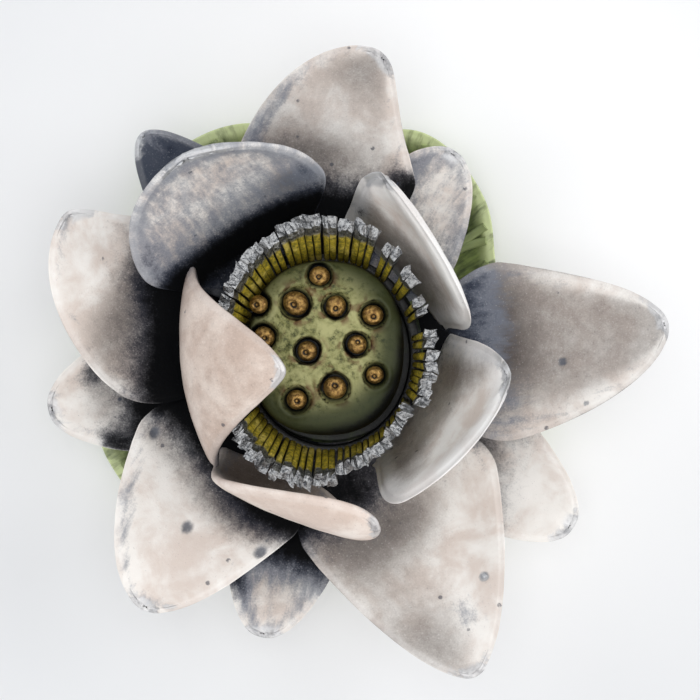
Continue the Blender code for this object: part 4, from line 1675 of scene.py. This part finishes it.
@dataclass
class StamenRing:
    """Flat filaments in uneven groups on a band, bent outwards to rough hammered tips.

    A group is the angle of its first filament in degrees, how many it has and how far it leans out. The
    chances are the numbers drawn for each filament, each with its smallest and largest value.
    """

    groups: tuple[tuple[float, int, float], ...] = (
        (350.0, 3, 0.15), (5.5, 2, 0.1), (20.5, 2, 0.0), (36.5, 2, 0.15), (51.5, 2, 0.4), (65.0, 7, 0.75),
        (97.0, 5, 0.9), (120.0, 6, 0.9), (147.0, 6, 0.85), (174.0, 6, 0.7), (201.0, 5, 0.7), (223.0, 5, 0.9),
        (245.0, 4, 0.5), (263.0, 3, 0.2), (278.0, 8, -0.7), (314.5, 5, -0.9), (338.0, 3, 0.0),
    )
    chances: tuple[tuple[str, float, float], ...] = (
        ("height", -1.3, 0.5), ("shift", -0.006, 0.006), ("girth", 0.82, 1.08), ("out", -0.45, 0.25),
        ("skew", -0.9, 0.9), ("slope", -1.1, 1.1),
    )
    centre: tuple[float, float] = (-0.2, -1.0)
    root: tuple[float, float] = (16.5, 18.4)
    tip: tuple[float, float] = (20.6, 25.0)
    spread: float = 1.6
    base: float = 26.7
    rim: float = 30.0
    top: float = 43.0
    pitch: float = 4.4
    thickness: float = 1.5
    fill: float = 0.97
    sides: int = 128

    def _marks(self) -> bpy.types.Object:
        """One loose vertex for each filament, with its angle and its lean.

        Returns:
            The object that holds the vertices.
        """
        marks = [(first + self.pitch * k, lean) for first, count, lean in self.groups for k in range(count)]
        angles = np.array([math.radians(angle) for angle, _ in marks])
        leans = np.array([lean for _, lean in marks])
        return mesh_piece("stamens_cast", polar(1.0, angles, 0.0), [], {"angle": angles, "lean": leans})

    def _grow(self, marks: bpy.types.Object, material: bpy.types.Material) -> bpy.types.Object:
        """Grows the filaments on the marks.

        Args:
            marks: the loose vertices.
            material: what its surface is made of.

        Returns:
            The filaments.
        """
        tree = GeometryTree("filaments", {
            "Centre X": self.centre[0], "Centre Y": self.centre[1],
            "Root X": self.root[0], "Root Y": self.root[1],
            "Tip X": self.tip[0] - self.spread, "Tip Y": self.tip[1] - self.spread,
            "Spread": 1.6 * self.spread, "Base": self.base + 1.0, "Top": self.top,
            "Thickness": self.thickness, "Width": math.radians(self.pitch * self.fill), "Seed": 7,
        })
        unit = tree.result("GeometryNodeMeshCube", Size=(1, 1, 1), Vertices_X=5, Vertices_Y=3, Vertices_Z=11)
        unit = tree.stored(unit, "unit", tree.result("GeometryNodeInputPosition"), "FLOAT_VECTOR")
        marked = tree.geometry
        for turn, (title, low, high) in enumerate(self.chances):
            marked = tree.stored(marked, title, tree.draw(low, high, tree.given("Seed") + float(turn)))
        grown = tree.result("GeometryNodeInstanceOnPoints", Points=marked, Instance=unit)
        real = tree.result("GeometryNodeRealizeInstances", Geometry=grown)
        across, deep, high = tree.parts(tree.named("unit", "FLOAT_VECTOR"))
        deep, high = deep + 0.5, high + 0.5
        lean = tree.number("lean")
        bend = high**1.4
        flare = tree.step(high, 0.72, 1.0)
        angle = tree.number("angle") + tree.number("shift") * (1.0 + bend)
        angle = angle + across * tree.given("Width") * tree.number("girth") * (1.0 + flare * 0.12)
        worn = 1.0 - (across * 2.0) ** 4.0 * (1.0 - flare) * 0.35
        slab = (tree.given("Thickness") * worn + flare * 0.8) * (deep - 0.5) + tree.given("Thickness") * 0.5
        slab = slab + (tree.number("out") + tree.number("skew") * across) * bend

        def ring(root: str, tip: str) -> Signal:
            """How far out a filament is, along one of the ring's axes."""
            size = tree.given(tip) + tree.given("Spread") * lean
            return tree.given(root) + (size - tree.given(root)) * bend + slab

        x = tree.given("Centre X") + ring("Root X", "Tip X") * tree.math("COSINE", angle)
        y = tree.given("Centre Y") + ring("Root Y", "Tip Y") * tree.math("SINE", angle)
        top = tree.given("Top") + tree.number("height") + tree.number("slope") * across
        height = tree.given("Base") + (top - tree.given("Base")) * high
        place = tree.joined(x * MM, y * MM, height * MM)
        placed = tree.result("GeometryNodeSetPosition", Geometry=real, Position=place)
        hack = tree.add("ShaderNodeTexNoise", Vector=place, Scale=620.0, Detail=1.0).outputs[1]
        hack = tree.vector("SUBTRACT", hack, (0.5, 0.5, 0.5))
        push = tree.vector("MULTIPLY", hack, tree.joined(*((flare * 1.5 + 0.25) * MM,) * 3))
        rough = tree.stored(tree.shifted(placed, push), "rise", high)
        rough = tree.stored(rough, "across", tree.math("ABSOLUTE", across) * 2.0)
        tree.close(rough, material, smooth_faces=False)
        return tree.run(marks)

    def _band(self, material: bpy.types.Material) -> bpy.types.Object:
        """The low band that the filaments grow from.

        Args:
            material: what its surface is made of.

        Returns:
            The band.
        """
        base, rim, soft = self.base, self.rim, self.rim - 0.3
        corners = ((-0.4, base), (1.9, base), (1.9, soft), (1.5, rim), (0.0, rim), (-0.4, soft))
        (x, y), (wide, deep), size = self.centre, self.root, len(corners)
        points = np.array([
            (x + (wide + out) * math.cos(angle), y + (deep + out) * math.sin(angle), height)
            for angle in np.arange(self.sides) * math.tau / self.sides for out, height in corners
        ])
        faces = []
        for here in range(0, len(points), size):
            after = (here + size) % len(points)
            for low, high in ((c, (c + 1) % size) for c in range(size)):
                faces.append((here + low, here + high, after + high, after + low))
        zeros = np.zeros(len(points))
        piece = mesh_piece("stamen_band", points, faces, {"rise": zeros, "across": zeros})
        piece.data.materials.append(material)
        return piece

    def build(self) -> list[Cast]:
        """Builds the filaments and their band.

        Returns:
            The filaments and the band.
        """
        material = StamenPaint().material()
        ring, band = self._grow(self._marks(), material), self._band(material)
        return [Cast(ring, "stamens", ("stamens",)), Cast(band, "stamens")]


# --- Leaf and cup ---


@dataclass
class LotusLeaf:
    """The leaf that everything stands on: a waved blade with a rolled rim, forked veins and a boss.

    Inland is the distance from the rim that is noted wherever the rim is too far to matter. The bead is the
    rise along the rim, as (height, distance from the rim, width). Veins run from their root to a share of the
    leaf's reach, and fork somewhere between two distances from the axis.
    """

    thickness: float = 2.6
    foot: float = 27.0
    boss_radius: float = 11.0
    boss_height: float = 5.0
    rim_lift: float = 6.0
    rim_wave: float = 1.8
    roll: float = 0.9
    waves: int = 6
    inland: float = 30.0
    bead: tuple[float, float, float] = (0.45, 1.6, 1.3)
    vein_root: float = 10.5
    vein_width: float = 0.75
    fork: tuple[float, float] = (24.0, 31.0)
    fork_width: float = 0.48
    reaches: tuple[float, ...] = (
        46.0, 38.6, 45.5, 49.5, 44.0, 51.3, 52.5, 46.5, 49.0, 52.5, 50.5, 46.0, 43.5, 47.0, 47.5, 47.5,
    )
    veins: int = 19
    seed: int = 5
    sides: int = 288

    def reach(self, angles: Points) -> Points:
        """The leaf's radius at the angles.

        Args:
            angles: where it is measured, in radians.

        Returns:
            The radius at each.
        """
        count = len(self.reaches)
        spots = (angles / math.tau * count) % count
        knots = np.array(self.reaches * 3)
        return eased(knots, spots + count)

    def underside(self, radius: Points, angles: Points) -> Points:
        """Height of the underside."""
        out = np.maximum(0, (radius - self.foot) / (self.reach(angles) - self.foot))
        return out**1.7 * (self.rim_lift + self.rim_wave * np.cos(self.waves * angles))

    def _ring(self, share: float, lift: float, out: float, angles: Points) -> Points:
        """Points of a ring between the foot and the rolled rim, or out on the roll."""
        radius = self.foot + (self.reach(angles) - self.roll - self.foot) * share + out
        return polar(radius, angles, self.underside(radius, angles) + lift)

    def _top(self, radius: Points | float, angles: Points) -> Points:
        """Height of the top face near the middle: level, then up the boss.

        Args:
            radius: how far from the axis.
            angles: in radians.

        Returns:
            The height above the underside.
        """
        step = np.clip((self.boss_radius + 4 - radius) / 5.0, 0, 1)
        rise = self.boss_height - self.thickness
        return self.thickness + rise * step * step * (3 - 2 * step) + 0 * angles

    def _blade(self) -> bpy.types.Object:
        """The leaf's closed blade.

        Returns:
            The blade.
        """
        angles = np.arange(self.sides) * math.tau / self.sides
        shares = np.linspace(0, 1, 30)[:-1] ** 0.85
        rings, edge = [], []

        def put(points: Points, far: Points | float) -> None:
            """Adds a ring, with how far it is from the rim."""
            rings.append(points)
            edge.append(np.broadcast_to(far, len(angles)))

        span, (high, inset, wide) = self.reach(angles) - self.foot, self.bead
        for radius in (9.0, 18.0, 24.0):
            put(polar(radius, angles, 0.0), self.inland)
        for share in shares:
            put(self._ring(share, 0.0, 0.0, angles), (1 - share) * span)
        for turn in np.linspace(0, math.pi, 11):
            lift = 0.5 * self.thickness * (1 - math.cos(turn))
            put(self._ring(1.0, lift, self.roll * math.sin(turn), angles), 0.0)
        for share in shares[::-1]:
            far = (1 - share) * span
            bead = high * np.exp(-(((far - inset) / wide) ** 2))
            put(self._ring(share, self.thickness, 0.0, angles) + np.outer(bead, (0, 0, 1)), far)
        for radius in np.linspace(26, 1.0, 26):
            put(polar(radius, angles, self._top(radius, angles)), self.inland)
        points = np.vstack([[(0.0, 0.0, 0.0)], *rings, [(0.0, 0.0, self.boss_height)]])
        numbers = {
            "edge": np.concatenate([[self.inland], *edge, [self.inland]]), "vein": np.zeros(len(points)),
        }
        radius = np.hypot(points[:, 0], points[:, 1])
        turn = np.arctan2(points[:, 1], points[:, 0])
        faces = turned_faces(len(rings), self.sides)
        return mesh_piece("lotus_leaf", points, faces, numbers, np.column_stack([turn * 20, radius]))

    def _vein_lines(self) -> list[tuple[Points, float]]:
        """The lines of the veins on the top face, each with its width at the root.

        Returns:
            The points and the width of each line.
        """
        draw = random.Random(self.seed)
        lines = []

        def line(start: float, end: float, near: float, far: float, wide: float) -> None:
            """Adds a line.

            Args:
                start: the angle at the root.
                end: the angle at the tip.
                near: how far the root is from the axis.
                far: the share of the leaf's reach at the tip.
                wide: the width at the root.
            """
            share = np.linspace(0, 1, 26)
            angles = start + (end - start) * share**1.5
            radius = near + (self.reach(angles) * far - near) * share
            top = self._top(radius, angles) + self.underside(radius, angles)
            lines.append((polar(radius, angles, top), wide))

        for k in range(self.veins):
            angle = math.tau * (k + draw.uniform(-0.2, 0.2)) / self.veins
            swing = draw.uniform(-0.05, 0.05)
            line(angle, angle + swing, self.vein_root, 0.96, self.vein_width)
            fork = draw.uniform(*self.fork)
            for way in (-1, 1):
                end = angle + way * draw.uniform(0.09, 0.14)
                line(angle + swing * 0.4, end, fork, 0.955, self.fork_width)
        return lines

    def _grow_veins(self, material: bpy.types.Material) -> bpy.types.Object:
        """Sweeps a tapered round rib along each vein line.

        Args:
            material: what its surface is made of.

        Returns:
            The veins.
        """
        points, edges, girth, start = [], [], [], 0
        for line, wide in self._vein_lines():
            points.append(line)
            edges += [(start + k, start + k + 1) for k in range(len(line) - 1)]
            girth.append(wide * (1 - 0.72 * np.linspace(0, 1, len(line))))
            start += len(line)
        piece = mesh_piece("leaf_veins", np.vstack(points), [], {"girth": np.concatenate(girth)}, edges=edges)
        tree = GeometryTree("veins", {"Sides": 8, "Seed": 2})
        curve = tree.result("GeometryNodeMeshToCurve", Mesh=tree.geometry)
        curve = tree.result("GeometryNodeSetCurveRadius", Curve=curve, Radius=tree.number("girth"))
        profile = tree.result("GeometryNodeCurvePrimitiveCircle", Resolution=tree.given("Sides"), Radius=MM)
        swept = tree.result("GeometryNodeCurveToMesh", Curve=curve, Profile_Curve=profile, Fill_Caps=True)
        marked = tree.stored(tree.stored(swept, "vein", 1.0), "edge", self.inland)
        tree.close(marked, material)
        return tree.run(piece)

    def build(self) -> list[Cast]:
        """Builds the blade and its veins.

        Returns:
            The blade and the veins.
        """
        material = LeafPaint().material()
        blade = self._blade()
        CastRelief(lump=9.0, height=0.22, grain=2.2, depth=0.06).apply(blade, material, seed=40.0)
        return [Cast(blade, "leaf", ("leaf",)), Cast(self._grow_veins(material), "leaf")]


@dataclass
class StalkCup:
    """The stalk and the cup that carry the flower, softly ribbed."""

    profile: tuple[tuple[float, float], ...] = (
        (9.0, 0.0), (8.4, 1.5), (9.8, 3.5), (10.4, 6.0), (12.0, 10.0), (12.6, 14.3), (15.8, 18.3),
        (18.6, 20.4), (18.6, 21.0),
    )
    foot: float = 5.3
    ribs: int = 15
    flute: float = 0.12
    sides: int = 180

    def build(self) -> list[Cast]:
        """Builds the cup.

        Returns:
            The cup.
        """
        knots = np.array(self.profile)
        rings = [tuple(ring) for ring in eased(knots, np.linspace(0, len(knots) - 1, 70))]
        rings = [(4.0, 0.0), *rings, (18.0, 21.0), (12.0, 21.0), (6.0, 21.0)]

        def place(radius: float, height: float, angles: Points) -> Points:
            """Places the points of one ring, fluted below the brim.

            Args:
                radius: how far the ring is from the cup's axis.
                height: how high the ring is above the foot.
                angles: the angle of each point.

            Returns:
                The points.
            """
            flute = self.flute * np.cos(self.ribs * angles) * math.sin(math.pi * min(1.0, height / 20.0))
            fluted = radius > 7 and height < 20.5
            return polar(radius + (flute - self.flute if fluted else 0.0), angles, self.foot + height)

        points, faces = turned_body(rings, self.sides, place)
        rib = 0.5 + 0.5 * np.cos(self.ribs * np.arctan2(points[:, 1], points[:, 0]))
        cup = mesh_piece("stalk_cup", points, faces, {"rib": rib})
        relief = CastRelief(lump=6.0, height=0.08, grain=1.8, depth=0.04)
        relief.apply(cup, CupPatina().material(), seed=60.0)
        return [Cast(cup, "cup", ("cup",))]


# --- Studio ---


@dataclass(frozen=True)
class Softbox:
    """A soft lamp that faces the flower: place and size in metres, power in watts."""

    name: str
    place: tuple[float, float, float]
    size: tuple[float, float]
    power: float
    tint: Colour = (1.0, 1.0, 1.0)


@dataclass
class Studio:
    """The pale ground, the soft light and the camera straight above.

    The lens is chosen so that the view spans the view width at the view height, both in millimetres.
    """

    lamps: tuple[Softbox, ...] = (
        Softbox("window_right", (0.6, 0.15, 0.4), (0.5, 0.7), 1.9),
        Softbox("window_left", (-0.55, 0.35, 0.42), (0.5, 0.5), 1.2, (0.95, 0.97, 1.0)),
        Softbox("fill_front", (0.1, -0.62, 0.45), (0.7, 0.4), 1.45, (1.0, 0.98, 0.96)),
        Softbox("tent_top", (0.0, 0.0, 1.1), (0.7, 0.7), 2.4),
    )
    aim: tuple[float, float, float] = (0.0, 0.0, 0.03)
    sky: float = 0.55
    sky_tint: Colour = (0.97, 0.985, 1.0)
    ground_reach: float = 1500.0
    camera_place: tuple[float, float, float] = (0.004, 0.0, 0.5)
    sensor: float = 36.0
    view_width: float = 140.0
    view_height: float = 30.0

    def build(self) -> None:
        """Sets the ground, the lamps, the world and the camera."""
        corners = self.ground_reach * np.array([(-1, -1, 0), (1, -1, 0), (1, 1, 0), (-1, 1, 0)])
        ground = mesh_piece("studio_ground", corners, [(0, 1, 2, 3)])
        ground.data.materials.append(StudioGround().material())
        for lamp in self.lamps:
            data = bpy.data.lights.new(lamp.name, "AREA")
            data.shape, data.size, data.size_y = "RECTANGLE", *lamp.size
            data.energy, data.color = lamp.power, lamp.tint
            holder = bpy.data.objects.new(lamp.name, data)
            aim = (Vector(self.aim) - Vector(lamp.place)).to_track_quat("-Z", "Y")
            holder.matrix_world = Matrix.Translation(lamp.place) @ aim.to_matrix().to_4x4()
            bpy.context.scene.collection.objects.link(holder)
        world = bpy.data.worlds.new("soft_studio")
        world.use_nodes = True
        graph = Graph(world.node_tree)
        back = graph.result("ShaderNodeBackground", Color=self.sky_tint, Strength=self.sky)
        graph.add("ShaderNodeOutputWorld", Surface=back)
        bpy.context.scene.world = world
        data = bpy.data.cameras.new("camera")
        away = self.camera_place[2] / MM - self.view_height
        data.lens = self.sensor * away / self.view_width
        data.sensor_width, data.clip_start = self.sensor, 0.01
        camera = bpy.data.objects.new("camera", data)
        camera.location = self.camera_place
        bpy.context.scene.collection.objects.link(camera)
        bpy.context.scene.camera = camera
        bpy.context.scene.view_settings.view_transform = "Standard"


def main() -> None:
    """Builds the ornament round the frame."""
    logging.basicConfig(level=logging.INFO, format="%(message)s")
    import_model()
    parts = (LotusLeaf(), StalkCup(), SeedPod(), StamenRing(), Blossom())
    casts = [cast for part in parts for cast in part.build()]
    sky = Sky(casts)
    for cast in casts:
        sky.dress(cast.piece)
        cast.hand_over()
    Studio().build()


if __name__ == "__main__":
    main()
